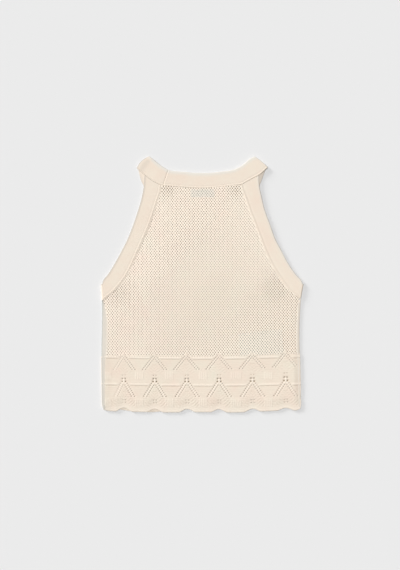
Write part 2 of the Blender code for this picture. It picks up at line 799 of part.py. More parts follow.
def add_armband(name: str, rows: list[BandRow], under_edge: list[Place], side: int, neckband: Band,
                material: bpy.types.Material, garment: bpy.types.Collection) -> tuple[Band, Vector]:
    """Armband, and the flat band that its shown half follows with the tip of its linked edge."""
    shown = Band(rows)
    under_rows = list(rows)
    for index, place in enumerate(under_edge):
        under_rows[index] = rows[index]._replace(free_across=place.across, free_up=place.up)
    hidden = Band(under_rows)
    hidden.knots = shown.knots
    tip = shown.linked[-1].copy()
    outward = shown.draw_in(-1, -2)
    hidden.draw_in(-1, -2)
    rings = armband_rings(shown, hidden, outward, neckband.linked_up, side)
    add_piece(name, joined(rings), band_faces(rings, False), material, garment)
    return shown, tip


def add_front_panel(outline: list[Vector], open_edge: list[Vector],
                    material: bpy.types.Material, garment: bpy.types.Collection) -> None:
    """Shown panel, with the stitches of its border raised on its outer face."""
    points = grid_points(outline, PANEL_GRID, OUTLINE_CLEAR)
    points += moved_aside(open_edge, EDGE_RAMP / 2)[RING_STRIDE:-RING_STRIDE:RING_STRIDE]
    lines = relief_lines()

    def is_clear(point: Vector) -> bool:
        return min(distance_to(line, point) for line in lines) > GRID_CLEAR

    outer = flat_mesh(outline, [point for point in points if is_clear(point)], lines)
    inner = flat_mesh(outline, points, [])
    corners, faces = sheet_between(
        outline,
        outer, lambda p: front_rest(open_edge, p) + PANEL_WALL + relief(p),
        inner, lambda p: front_rest(open_edge, p))
    add_piece("front_panel", corners, faces, material, garment)


def add_back_panel(outline: list[Vector], material: bpy.types.Material,
                   garment: bpy.types.Collection) -> None:
    """Hidden panel, flat on the surface."""
    face = flat_mesh(outline, [], [])
    corners, faces = sheet_between(outline, face, lambda p: PANEL_WALL, face, lambda p: 0.0)
    add_piece("back_panel", corners, faces, material, garment)


def add_labels(neckband: Band, material: bpy.types.Material, garment: bpy.types.Collection) -> None:
    """Label in the back neck, just under the neckband, and care label low at the right."""
    half = NECK_LABEL_WIDTH / 2
    tops = [neckband.linked_up(NECK_LABEL_ACROSS + beside) for beside in (-half, 0.0, half)]
    middle = Vector((NECK_LABEL_ACROSS, min(tops) - LABEL_GAP - NECK_LABEL_LENGTH / 2))
    corners, faces = label_slab(middle, NECK_LABEL_WIDTH, NECK_LABEL_LENGTH, 0.0)
    add_piece("neck_label", corners, faces, material, garment)
    corners, faces = label_slab(
        Vector(CARE_LABEL_MIDDLE), CARE_LABEL_WIDTH, CARE_LABEL_LENGTH, CARE_LABEL_TURN)
    add_piece("care_label", corners, faces, material, garment)


def build() -> None:
    """Builds the whole garment."""
    for item in list(bpy.data.objects):
        bpy.data.objects.remove(item, do_unlink=True)
    garment = bpy.data.collections.new("knit_halter_top")
    bpy.context.scene.collection.children.link(garment)
    net_knit = add_material("cream_net_knit", CREAM_KNIT)
    double_knit = add_material("cream_double_knit", CREAM_BAND)
    woven = add_material("white_woven_label", LABEL_WHITE)

    neckband = add_neckband(double_knit, garment)
    left, left_tip = add_armband(
        "armband_left", LEFT_ARM_ROWS, LEFT_UNDER_EDGE, -1, neckband, double_knit, garment)
    right, right_tip = add_armband(
        "armband_right", RIGHT_ARM_ROWS, RIGHT_UNDER_EDGE, 1, neckband, double_knit, garment)
    outline, open_edge = panel_outline(neckband, left, right, left_tip, right_tip, hem_up)
    add_front_panel(outline, open_edge, net_knit, garment)
    outline, _ = panel_outline(neckband, left, right, left_tip, right_tip, under_hem_up)
    add_back_panel(outline, net_knit, garment)
    add_labels(neckband, woven, garment)
    centre_on_origin(garment.objects)


build()
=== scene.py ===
"""Looks of a knit halter top that lies flat: net body, pointelle border, double-knit bands and labels.

Sizes are in millimetres on the garment as it lies. Across runs to the right and up runs to the neck,
both from the middle of the garment, and height is measured from the floor. Tones are painted light and
shade in the cloth's colour. They run from -1 to 1: painted shade over nothing, as in a furrow, and a
painted highlight under it, as on a ridge. A tone past 1 counts as 1.
"""

import logging
import math
from dataclasses import dataclass, field
from enum import Enum
from functools import partial
from itertools import product
from typing import Callable, NamedTuple

import bpy
import numpy as np
from mathutils import Matrix, Vector


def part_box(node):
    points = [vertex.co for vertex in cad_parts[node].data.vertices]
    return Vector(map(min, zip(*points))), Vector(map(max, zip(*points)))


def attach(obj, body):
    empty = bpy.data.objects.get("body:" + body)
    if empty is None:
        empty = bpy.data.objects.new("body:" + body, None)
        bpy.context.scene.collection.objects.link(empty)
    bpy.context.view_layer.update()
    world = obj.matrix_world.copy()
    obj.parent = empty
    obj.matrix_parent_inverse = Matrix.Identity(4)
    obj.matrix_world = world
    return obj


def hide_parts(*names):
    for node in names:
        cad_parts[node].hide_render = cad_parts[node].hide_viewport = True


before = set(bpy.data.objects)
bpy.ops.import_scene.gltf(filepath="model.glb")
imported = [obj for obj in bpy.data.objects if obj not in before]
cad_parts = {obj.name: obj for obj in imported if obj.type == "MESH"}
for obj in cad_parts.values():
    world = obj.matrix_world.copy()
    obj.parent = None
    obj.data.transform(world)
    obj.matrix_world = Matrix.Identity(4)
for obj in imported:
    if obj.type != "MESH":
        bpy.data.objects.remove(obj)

LOG = logging.getLogger("halter_top")
MM = 0.001
SEED = 7
SHARP_ANGLE = math.radians(62.0)

# Types that the hints name most
Array = np.ndarray
Socket = bpy.types.NodeSocket

# The body that every piece rides on
BODY = "root"

# Photograph: its size, what one pixel measures on the garment, and the garment's middle in it
PHOTO_SIZE = (400, 570)
PIXEL = 1.93
PHOTO_MIDDLE = (202.6, 284.35)

# Walls and heights of the layers, as in the solids
PANEL_WALL = 1.4
BAND_WALL = 2.2
SEAM_GAP = 0.3
FRONT_REST = PANEL_WALL + SEAM_GAP
FRONT_LOFT = 1.3
FRONT_WAVE = 0.25
EDGE_RAMP = 14.0
HEM_SLOPE_SHARE = 0.55
SIDE_WAVE_LENGTH = 150.0
UP_WAVE_LENGTH = 190.0
BAND_MIDDLE = BAND_WALL + SEAM_GAP / 2
FOLD_INSIDE = SEAM_GAP / 2
FOLD_OUTSIDE = SEAM_GAP / 2 + BAND_WALL
BAND_FACE = BAND_MIDDLE + FOLD_OUTSIDE


def linear(code: str) -> tuple[float, float, float, float]:
    """Turns a hex code into a colour for a shader.

    Args:
        code: An sRGB colour such as #F2E6D5.

    Returns:
        The linear colour, with its alpha.
    """
    parts = [int(code[index:index + 2], 16) / 255.0 for index in (1, 3, 5)]
    flat = [part / 12.92 if part <= 0.04045 else ((part + 0.055) / 1.055) ** 2.4 for part in parts]
    return (*flat, 1.0)


def fade(value: Array, start: float, end: float) -> Array:
    """Smooth step from nothing at the start to one at the end, which may lie under the start."""
    share = np.clip((value - start) / (end - start), 0.0, 1.0)
    return share * share * (3.0 - 2.0 * share)


def hill(distance: Array) -> Array:
    """Round hill of height one that ends at distance one."""
    return np.maximum(1.0 - distance * distance, 0.0) ** 2


def ripple(turns: Array) -> Array:
    """Even wave between -1 and 1, by how many turns it has made."""
    return np.cos(2.0 * math.pi * turns)


class BandRow(NamedTuple):
    """One line across a band, from its free edge to its linked edge."""
    free_across: float
    free_up: float
    linked_across: float
    linked_up: float


class Place(NamedTuple):
    """A place on the garment."""
    across: float
    up: float


class Stretch(NamedTuple):
    """A stretch with soft ends: where it starts, where it is full, where it begins to fade, and its end."""
    start: float
    full: float
    fading: float
    end: float

    def share(self, value: Array) -> Array:
        """How far inside the stretch a value lies, from nothing to one."""
        return fade(value, self.start, self.full) * fade(value, self.end, self.fading)


class Chevron(NamedTuple):
    """A column of the border: its middle at the top and at the hem, the tops of its chevrons, and how
    wide its left and right legs spread."""
    across: float
    foot_across: float
    upper_top: float
    lower_top: float
    left_spread: float = 1.0
    right_spread: float = 1.0


class Tier(NamedTuple):
    """A tier of chevrons: its top row, the widths of a stitch inside and in the legs, the rows that have
    those widths, and whether a knob stands over each chevron."""
    top: float
    inner_width: float
    leg_width: float
    rows: Stretch
    knob: bool


class Ridge(NamedTuple):
    """A ridge or a furrow: its height, how much that swells at each row, and how far it reaches."""
    height: float
    swell: float
    reach: float

    def at(self, aside: Array, rows: Array | float = 0.0) -> Array:
        """Height of the ridge at some distances beside its top and some rows along it."""
        return (self.height + self.swell * ripple(rows)) * hill(aside / self.reach)


class Dot(NamedTuple):
    """A hole, a pit or a knob of a chevron: stitches from its middle, row from its top, and size."""
    steps: float
    row: float
    size: float


class RibGroup(NamedTuple):
    """A few upright ribs side by side: their middle and how many they are."""
    across: float
    ribs: int


class StripWidth(NamedTuple):
    """Width of the plain strip down a side edge, at one height."""
    up: float
    width: float


class OpenCorner(NamedTuple):
    """A place where the net is pulled open, with its reach and how far."""
    place: Place
    reach: float
    strength: float


class DrawnPart(NamedTuple):
    """A part of the net that is drawn together: how far, and between which places it sets in."""
    amount: float
    across: tuple[float, float]
    up: tuple[float, float]


class Side(Enum):
    """Left or right as the garment lies."""
    LEFT = -1
    RIGHT = 1


class Layer(Enum):
    """The shown half of the garment, or the half that it lies on."""
    SHOWN = "front"
    HIDDEN = "back"


# Neckband, from the fold at the left tip to the fold at the right tip
NECK_ROWS = [BandRow(*row) for row in (
    (-102.5, 247.0, -127.0, 224.0), (-95.5, 241.5, -115.0, 213.0), (-87.0, 234.0, -101.5, 202.5),
    (-78.0, 227.5, -89.0, 195.0), (-66.0, 220.6, -76.0, 190.0), (-54.0, 218.0, -59.0, 188.5),
    (-38.0, 217.0, -40.0, 187.0), (-20.0, 215.2, -20.5, 185.5), (-1.0, 214.8, -1.0, 185.0),
    (18.0, 215.2, 18.0, 186.0), (37.5, 217.5, 37.5, 187.5), (55.0, 219.8, 56.5, 190.0),
    (68.5, 225.0, 74.0, 192.0), (78.0, 230.5, 85.5, 198.0), (87.5, 239.0, 97.5, 204.5),
    (94.5, 244.0, 109.5, 211.0), (100.0, 247.0, 126.0, 226.0),
)]
NECK_JOIN_ROW = 4

# Armbands, from the neckband to the fold at the underarm
ARM_ROWS = {
    Side.LEFT: [BandRow(*row) for row in (
        (-112.0, 210.0, -79.5, 188.0), (-112.5, 199.5, -80.0, 183.0), (-113.5, 188.0, -80.5, 177.5),
        (-118.0, 164.5, -86.5, 161.0), (-124.5, 142.5, -93.0, 140.5), (-133.5, 115.5, -102.0, 114.5),
        (-144.8, 86.9, -114.5, 85.5), (-155.5, 65.8, -125.8, 59.2), (-169.4, 40.2, -138.7, 30.8),
        (-182.2, 19.6, -152.8, 7.4), (-190.6, 9.3, -173.0, -15.9), (-195.8, 0.5, -194.2, -30.5),
    )],
    Side.RIGHT: [BandRow(*row) for row in (
        (108.5, 208.0, 73.0, 191.0), (108.5, 199.5, 74.5, 185.0), (109.5, 188.0, 77.0, 178.0),
        (114.5, 164.0, 83.5, 161.0), (120.0, 142.5, 90.5, 140.5), (129.5, 116.5, 101.0, 114.5),
        (140.0, 87.5, 112.5, 83.5), (151.5, 65.5, 122.7, 58.3), (165.0, 40.0, 136.5, 31.5),
        (179.5, 19.0, 152.0, 7.5), (189.2, 8.7, 168.0, -12.5), (194.7, 1.0, 189.5, -27.3),
    )],
}

# The free edge of the hidden half of each armband, where it stands out beside the shown half
UNDER_EDGE = {
    Side.LEFT: [Place(-124.0, 218.0), Place(-119.0, 199.5)],
    Side.RIGHT: [Place(121.0, 219.0), Place(113.5, 199.5)],
}

# Side edges of the body, from the underarm to the corner of the hem
SIDE_EDGE = {
    Side.LEFT: [
        Place(-194.2, -30.5), Place(-194.2, -69.0), Place(-195.2, -126.5), Place(-195.2, -165.5),
        Place(-194.9, -184.5), Place(-194.6, -213.5), Place(-193.8, -233.0), Place(-191.0, -241.8),
    ],
    Side.RIGHT: [
        Place(189.5, -27.3), Place(187.2, -69.0), Place(186.8, -113.0), Place(188.4, -158.0),
        Place(188.8, -184.5), Place(189.6, -213.5), Place(189.6, -233.0), Place(188.0, -240.3),
    ],
}

# Plain strip between the side seam and the net or the border
SIDE_STRIP = {
    Side.LEFT: [StripWidth(*row) for row in (
        (-30.0, 4.5), (-46.0, 7.0), (-66.0, 11.0), (-124.0, 11.5), (-146.0, 9.0), (-243.0, 7.0))],
    Side.RIGHT: [StripWidth(*row) for row in ((-27.0, 4.5), (-50.0, 6.0), (-120.0, 6.5), (-243.0, 5.5))],
}

# Lower edge of the shown panel, through the scallops, and its notches
HEM_LINE = [
    Place(-191.0, -241.8), Place(-180.0, -244.2), Place(-121.0, -246.0), Place(-63.0, -247.0),
    Place(1.0, -246.5), Place(64.5, -247.0), Place(126.0, -244.5), Place(170.0, -242.5),
    Place(180.0, -243.0), Place(188.0, -240.3),
]
HEM_NOTCHES = [
    Place(-151.5, -238.0), Place(-92.0, -240.5), Place(-29.5, -240.5),
    Place(31.5, -241.0), Place(96.5, -240.0), Place(160.0, -238.5),
]
NOTCH_REACH = 17.0

# Lower edge of the hidden panel: a little shorter, and in view under two notches
UNDER_HEM_RISE = 5.5
UNDER_HEM_DROP = 6.0
UNDER_DROP_ACROSS = -112.0
UNDER_DROP_REACH = 75.0
UNDER_NOTCHES = [-121.5, -61.0, 1.0, 64.5, 128.0]
UNDER_NOTCH_RISE = 4.5

# Pointelle border
CHEVRONS = [
    Chevron(-152.0, -151.0, -137.5, -186.0, 0.76, 0.86),
    Chevron(-92.5, -91.5, -137.5, -186.5, 0.93, 0.93),
    Chevron(-31.5, -28.5, -137.5, -186.5),
    Chevron(31.0, 33.0, -136.5, -186.5),
    Chevron(95.5, 97.0, -135.5, -186.0),
    Chevron(159.5, 161.0, -131.5, -185.0),
]

# The two tiers of chevrons, and the crests of the two rolled rows over them
TIERS = [
    Tier(0.0, 2.67, 2.75, Stretch(-3.0, -0.5, 7.6, 10.1), knob=False),
    Tier(16.0, 2.33, 3.18, Stretch(12.5, 15.0, 23.6, 26.1), knob=True),
]
WELTS = [
    [Place(-191.0, -139.8), Place(0.0, -142.6), Place(188.0, -139.0)],
    [Place(-191.0, -191.5), Place(0.0, -194.4), Place(188.0, -191.8)],
]
WELT_ROLL = Ridge(0.5, 0.0, 2.6)
WELT_FURROW = Ridge(0.32, 0.0, 1.5)
WELT_FURROW_DROP = 3.1

# Legs of a chevron: a chain of beads between two dotted furrows, with a low bank outside each
LEG_ROWS = Stretch(-1.6, -1.0, 7.3, 8.0)
LEG_BEADS = Ridge(0.3, 0.25, 0.9)
# Painted highlight on the beads
LEG_BEAD_PAINTED_HIGHLIGHT = Ridge(0.65, 0.45, 0.8)
LEG_FURROW = Ridge(0.15, 0.13, 0.7)
LEG_FURROW_ASIDE = 1.0
LEG_BANK = Ridge(0.15, 0.0, 0.8)
LEG_BANK_ASIDE = 1.9

# Eyelets over the chevrons and under the lower ones, on either side of their middle, and pits in the
# cluster inside each chevron
PEAK_EYELETS = [
    Dot(1.0, -1.0, 0.8), Dot(1.0, 14.75, 1.4), Dot(1.0, 13.0, 1.35), Dot(1.0, 10.75, 0.85),
    Dot(1.0, 25.5, 0.85), Dot(1.0, 27.5, 0.85),
]
CLUSTER_PITS = [Dot(1.2, 4.5, 0.3), Dot(0.0, 4.9, 0.25), Dot(2.2, 6.3, 0.2), Dot(0.0, 6.6, 0.2)]
PIT_REACH = (0.8, 0.45)

# Knob between the eyelets over each lower chevron, with a painted highlight on it
KNOB_ROW = -1.9
KNOB_REACH = (0.8, 1.3)
KNOB_HEIGHT = 0.4
KNOB_PAINTED_HIGHLIGHT = 0.9

# Upright ribs between the chevrons, in two bands
RIB_GROUPS = [
    RibGroup(-182.0, 3), RibGroup(-122.0, 4), RibGroup(-64.0, 4),
    RibGroup(1.0, 4), RibGroup(64.5, 5), RibGroup(127.0, 4),
]
RIB_BANDS = [Stretch(-184.0, -181.0, -170.0, -167.0), Stretch(-237.0, -234.0, -221.5, -218.5)]
RIB_PITCH = 4.2
RIB = Ridge(0.4, 0.0, 1.7)

# Slanting stitches inside the chevrons, and the fans of slanting ribs under the lower ones
SLANT_HEIGHT = 0.1
SLANT_INSIDE = (1.2, 2.7)
SLANT_END = (10.5, 8.5)
SLANT_TURNS = (0.3, 0.55)
FAN_HEIGHT = 0.18
FAN_TURNS = (0.42, 0.5)
FAN_ROWS = Stretch(24.5, 25.5, 28.5, 30.0)
FAN_STITCHES = Stretch(2.5, 3.5, 8.0, 9.5)
ROW_HEIGHT = 0.07

# Where the border's pattern is crisp: it is blocked flat and faint toward the side edges
CRISP_ACROSS = Stretch(-172.0, -137.0, 165.0, 200.0)
LEAST_CRISP = 0.6

# Corners where the net is pulled open
OPEN_CORNERS = [
    OpenCorner(Place(-69.0, 184.0), 19.0, 2.0), OpenCorner(Place(66.0, 184.0), 19.0, 1.7),
    OpenCorner(Place(-160.0, -12.0), 28.0, 1.0), OpenCorner(Place(140.0, -6.0), 24.0, 1.3),
]

# Parts of the net that are drawn together, toward the left side and the neck, or let go: low and right
EVERYWHERE = (-1001.0, -1000.0)
DRAWN_PARTS = [
    DrawnPart(0.6, (10.0, -160.0), EVERYWHERE),
    DrawnPart(0.25, (-40.0, -100.0), (60.0, 120.0)),
    DrawnPart(-0.3, (50.0, 140.0), (90.0, 30.0)),
    DrawnPart(0.55, EVERYWHERE, (60.0, 170.0)),
    DrawnPart(-0.35, EVERYWHERE, (40.0, -30.0)),
]

# Slow waves of unevenness in the net: their lengths across and up, where they start, and their shares
DRIFT = 0.08
LONG_WAVE = Place(31.0, 43.0)
LONG_WAVE_START = Place(0.7, 0.4)
SHORT_WAVE = Place(17.0, 23.0)
SHORT_WAVE_SHARE = 0.6
MOST_DRAWN = -1.3
MOST_OPEN = 1.7

# How far the folds at the neckband's tips stand out in a bow
LEFT_TIP_BOW = 4.0
RIGHT_TIP_BOW = 1.0
TIP_BOW_REACH = 26.0

# Painted shade on the fold at the neckband's left tip, painted highlight on the fold at its right tip, and
# painted shade in the dip beside the left one
LEFT_FOLD_PAINTED_SHADE = 0.85
RIGHT_FOLD_PAINTED_HIGHLIGHT = -0.3
LEFT_DIP_PAINTED_SHADE = 0.2
LEFT_DIP_PLACE = 7.0
LEFT_DIP_REACH = 8.0

# Across the neckband's join: distance along the band, and how far its face rises or sinks
JOIN_PROFILE = [
    (-1.6, 0.0), (-0.8, -0.25), (-0.25, -0.65), (0.25, -0.6), (0.8, -0.05), (1.4, 0.14), (2.2, 0.1),
    (3.2, 0.0),
]
JOIN_CLEAR = 0.4

# Gap between an armband's end and the neckband
ARM_END_GAP = 0.3

# Care label: its middle, low at the right, and its turn
CARE_LABEL_MIDDLE = Place(112.5, -114.0)
CARE_LABEL_TURN = math.radians(6.5)

# Painted cool shade by the left seam, where the light grazes it, and over the labels, whose shade shows
# through the net
SEAM_COOL_SHADE = 0.6
SEAM_COOL_SHADE_MARGIN = (20.0, 4.0)
SEAM_COOL_SHADE_UP = (-60.0, -110.0)
LABEL_COOL_SHADES = {"neck_label": 0.85, "care_label": 0.2}
LABEL_COOL_SHADE_FADE = 3.0

# Points that an edge is read at, and the area in which a panel's area is counted
NECK_POINTS = 240
ARMHOLE_POINTS = 90
SIDE_POINTS = 80
AREA_ACROSS = 196.0
AREA_UP = 250.0

# Sockets of a Mix node's colours and of its result, and a wave texture's scale for one band a metre
MIX_FIRST = 6
MIX_SECOND = 7
MIX_RESULT = 2
WAVE_SCALE = 0.314


class SmoothCurve:
    """Smooth curve through values at knots."""

    def __init__(self, knots: list[float], values: list) -> None:
        """Works out the slope at each knot.

        Args:
            knots: Places of the values, rising.
            values: One value or one point for each knot.
        """
        self.knots = np.asarray(knots, float)
        self.values = np.asarray(values, float).reshape(len(self.knots), -1)
        low = np.maximum(np.arange(len(self.knots)) - 1, 0)
        high = np.minimum(np.arange(len(self.knots)) + 1, len(self.knots) - 1)
        run = (self.knots[high] - self.knots[low])[:, None]
        self.slopes = (self.values[high] - self.values[low]) / run

    def __call__(self, at: Array) -> Array:
        """Reads the curve.

        Args:
            at: Places to read.

        Returns:
            One row for each place.
        """
        at = np.asarray(at, float)
        span = np.clip(np.searchsorted(self.knots, at) - 1, 0, len(self.knots) - 2)
        width = (self.knots[span + 1] - self.knots[span])[..., None]
        part = (at - self.knots[span])[..., None] / width
        start = self.values[span] * (2 * part**3 - 3 * part**2 + 1)
        end = self.values[span + 1] * (3 * part**2 - 2 * part**3)
        leave = self.slopes[span] * width * (part**3 - 2 * part**2 + part)
        arrive = self.slopes[span + 1] * width * (part**3 - part**2)
        return start + end + leave + arrive


def curve_up(places: list[Place]) -> Callable[[Array], Array]:
    """Smooth line through places, read by how far across they are."""
    curve = SmoothCurve([place.across for place in places], [place.up for place in places])
    return lambda across: curve(across)[..., 0]


class BandPath:
    """Flat course of a band, between its free edge and its linked edge."""

    def __init__(self, rows: list[BandRow]) -> None:
        """Measures the band along its middle.

        Args:
            rows: Lines across the band, from end to end.
        """
        self.free = np.array([[row.free_across, row.free_up] for row in rows])
        self.linked = np.array([[row.linked_across, row.linked_up] for row in rows])
        middles = (self.free + self.linked) / 2
        runs = np.hypot(*(middles[1:] - middles[:-1]).T)
        self.knots = np.concatenate([[0.0], np.cumsum(runs)])
        self.length = self.knots[-1]
        self.bows: list[tuple[float, Array]] = []

    def draw_in(self, row: int, inner_row: int) -> Array:
        """Moves an end row in to the axis of its fold.

        Args:
            row: The end row.
            inner_row: The row next to it.

        Returns:
            The way out of the fold, one unit long.
        """
        edge = self.linked[row] - self.free[row]
        outward = np.array([edge[1], -edge[0]]) / np.hypot(*edge)
        if outward @ (self.free[row] - self.free[inner_row]) < 0:
            outward = -outward
        self.free[row] -= outward * FOLD_OUTSIDE
        self.linked[row] -= outward * FOLD_OUTSIDE
        return outward

    def at(self, along: Array, share: Array) -> Array:
        """Places on the band.

        Args:
            along: Distances along the band.
            share: Shares of the way to the linked edge.

        Returns:
            Places across and up, one row for each.
        """
        along, share = np.broadcast_arrays(np.asarray(along, float), np.asarray(share, float))
        free = SmoothCurve(self.knots, self.free)(along)
        linked = SmoothCurve(self.knots, self.linked)(along)
        places = free + (linked - free) * share[..., None]
        for knot, push in self.bows:
            near = np.maximum(1.0 - np.abs(along - knot) / TIP_BOW_REACH, 0.0)
            places = places + (4.0 * share * (1.0 - share) * near * near)[..., None] * push
        return places


class Outline:
    """Edges of the two panels, and the height at which the shown one lies."""

    def __init__(self, shift: Array) -> None:
        """Reads the edges from the tables and the labels from their solids.

        Args:
            shift: From the garment's middle to the frame's origin, in millimetres.
        """
        self.shift = shift
        self.hem_line = curve_up(HEM_LINE)
        self.neckband = BandPath(NECK_ROWS)
        self.tips = {Side.LEFT: self.neckband.draw_in(0, 1), Side.RIGHT: self.neckband.draw_in(-1, -2)}
        self.neckband.bows = [(0.0, self.tips[Side.LEFT] * LEFT_TIP_BOW),
                              (self.neckband.length, self.tips[Side.RIGHT] * RIGHT_TIP_BOW)]
        self.neck_edge = self.neckband.at(np.linspace(0.0, self.neckband.length, NECK_POINTS), 1.0)
        self.edges = {side: self.side_line(side) for side in Side}
        self.welt_lines = [curve_up(places) for places in WELTS]
        self.label_boxes = {}
        for name in LABEL_COOL_SHADES:
            self.label_boxes[name] = [np.array(corner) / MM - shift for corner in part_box(name)]

    def side_line(self, side: Side) -> Array:
        """Joins the armhole and the side edge of one side.

        Args:
            side: The side.

        Returns:
            Places on the line, from the hem up to the neckband.
        """
        arm = BandPath(ARM_ROWS[side])
        arm.draw_in(-1, -2)
        armhole = arm.at(np.linspace(0.0, arm.length, ARMHOLE_POINTS), 1.0)
        places = SIDE_EDGE[side]
        curve = SmoothCurve([-place.up for place in places], [place.across for place in places])
        ups = np.linspace(places[0].up, places[-1].up, SIDE_POINTS)
        body = np.column_stack([curve(-ups)[:, 0], ups])
        return np.vstack([armhole[armhole[:, 1] > places[0].up + 1.0], body])[::-1]

    def side_across(self, side: Side, up: Array) -> Array:
        """How far across one side's edge lies at some heights on the garment."""
        line = self.edges[side]
        return np.interp(up, line[:, 1], line[:, 0])

    @staticmethod
    def strip_width(side: Side, up: Array) -> Array:
        """Width of the plain strip down one side, at some heights on the garment."""
        strip = SIDE_STRIP[side][::-1]
        return np.interp(up, [place.up for place in strip], [place.width for place in strip])

    def neck_up(self, across: Array) -> Array:
        """How far up the neckband's linked edge lies."""
        return np.interp(across, self.neck_edge[:, 0], self.neck_edge[:, 1])

    def hem_up(self, across: Array, layer: Layer) -> Array:
        """How far up a panel's hem lies.

        Args:
            across: Places across.
            layer: The shown or the hidden panel.

        Returns:
            The hem's place at each of them.
        """
        up = self.hem_line(across)
        if layer is Layer.SHOWN:
            for notch in HEM_NOTCHES:
                depth = notch.up - float(self.hem_line(notch.across))
                up = up + depth * hill((across - notch.across) / NOTCH_REACH)
            return up
        far = np.abs(across - UNDER_DROP_ACROSS)
        up = up + UNDER_HEM_RISE - UNDER_HEM_DROP * fade(far, UNDER_DROP_REACH, 0.0)
        for middle in UNDER_NOTCHES:
            up = up + UNDER_NOTCH_RISE * hill((across - middle) / NOTCH_REACH)
        return up

    def edge_distance(self, across: Array, up: Array) -> Array:
        """How far places are from the nearer side edge below the underarm, or from the hem.

        Args:
            across: Places across.
            up: Places up.

        Returns:
            The distances, with those from the hem made shorter.
        """
        corner = SIDE_EDGE[Side.LEFT][0].up
        low = np.minimum(up, corner)
        left = across - self.side_across(Side.LEFT, low)
        right = self.side_across(Side.RIGHT, low) - across
        aside = np.hypot(np.minimum(left, right), np.maximum(up - corner, 0.0))
        over_hem = HEM_SLOPE_SHARE * (up - self.hem_up(across, Layer.SHOWN))
        return np.maximum(np.minimum(aside, over_hem), 0.0)

    def painted_cool_shade(self, across: Array, up: Array) -> Array:
        """How much painted cool shade the shown panel has.

        Args:
            across: Places across.
            up: Places up.

        Returns:
            A share for each place: most by the left seam, and over the labels.
        """
        margin = across - self.side_across(Side.LEFT, up)
        cool_shade = SEAM_COOL_SHADE * fade(margin, *SEAM_COOL_SHADE_MARGIN) * fade(up, *SEAM_COOL_SHADE_UP)
        for name, amount in LABEL_COOL_SHADES.items():
            for low, high, value in zip(*self.label_boxes[name], (across, up)):
                label = Stretch(low, low + LABEL_COOL_SHADE_FADE, high - LABEL_COOL_SHADE_FADE, high)
                amount = amount * label.share(value)
            cool_shade = np.maximum(cool_shade, amount)
        return cool_shade

    def area(self, low: Callable, high: Callable) -> float:
        """Area of a panel between two lines.

        Args:
            low: Gives the lower line from places across.
            high: Gives the upper line.

        Returns:
            The area in square metres, within the sides and the bands.
        """
        wide, tall = np.meshgrid(np.arange(-AREA_ACROSS, AREA_ACROSS), np.arange(-AREA_UP, AREA_UP))
        inside = (wide > self.side_across(Side.LEFT, tall)) & (wide < self.side_across(Side.RIGHT, tall))
        inside &= (tall < high(wide)) & (tall > low(wide))
        return float(inside.sum()) * MM * MM

    def rest(self, across: Array, up: Array, layer: Layer) -> Array:
        """Height of a panel's inner face over the floor.

        Args:
            across: Places across.
            up: Places up.
            layer: The shown or the hidden panel.

        Returns:
            The height at each place. The shown panel lies on the hidden one at its sides and hem.
        """
        if layer is Layer.HIDDEN:
            return np.zeros(np.broadcast(across, up).shape)
        wave = np.sin(2 * math.pi * across / SIDE_WAVE_LENGTH) * ripple(up / UP_WAVE_LENGTH)
        rise = fade(self.edge_distance(across, up), 0.0, EDGE_RAMP)
        return FRONT_REST + (FRONT_LOFT + FRONT_WAVE * (1.0 + wave)) * rise


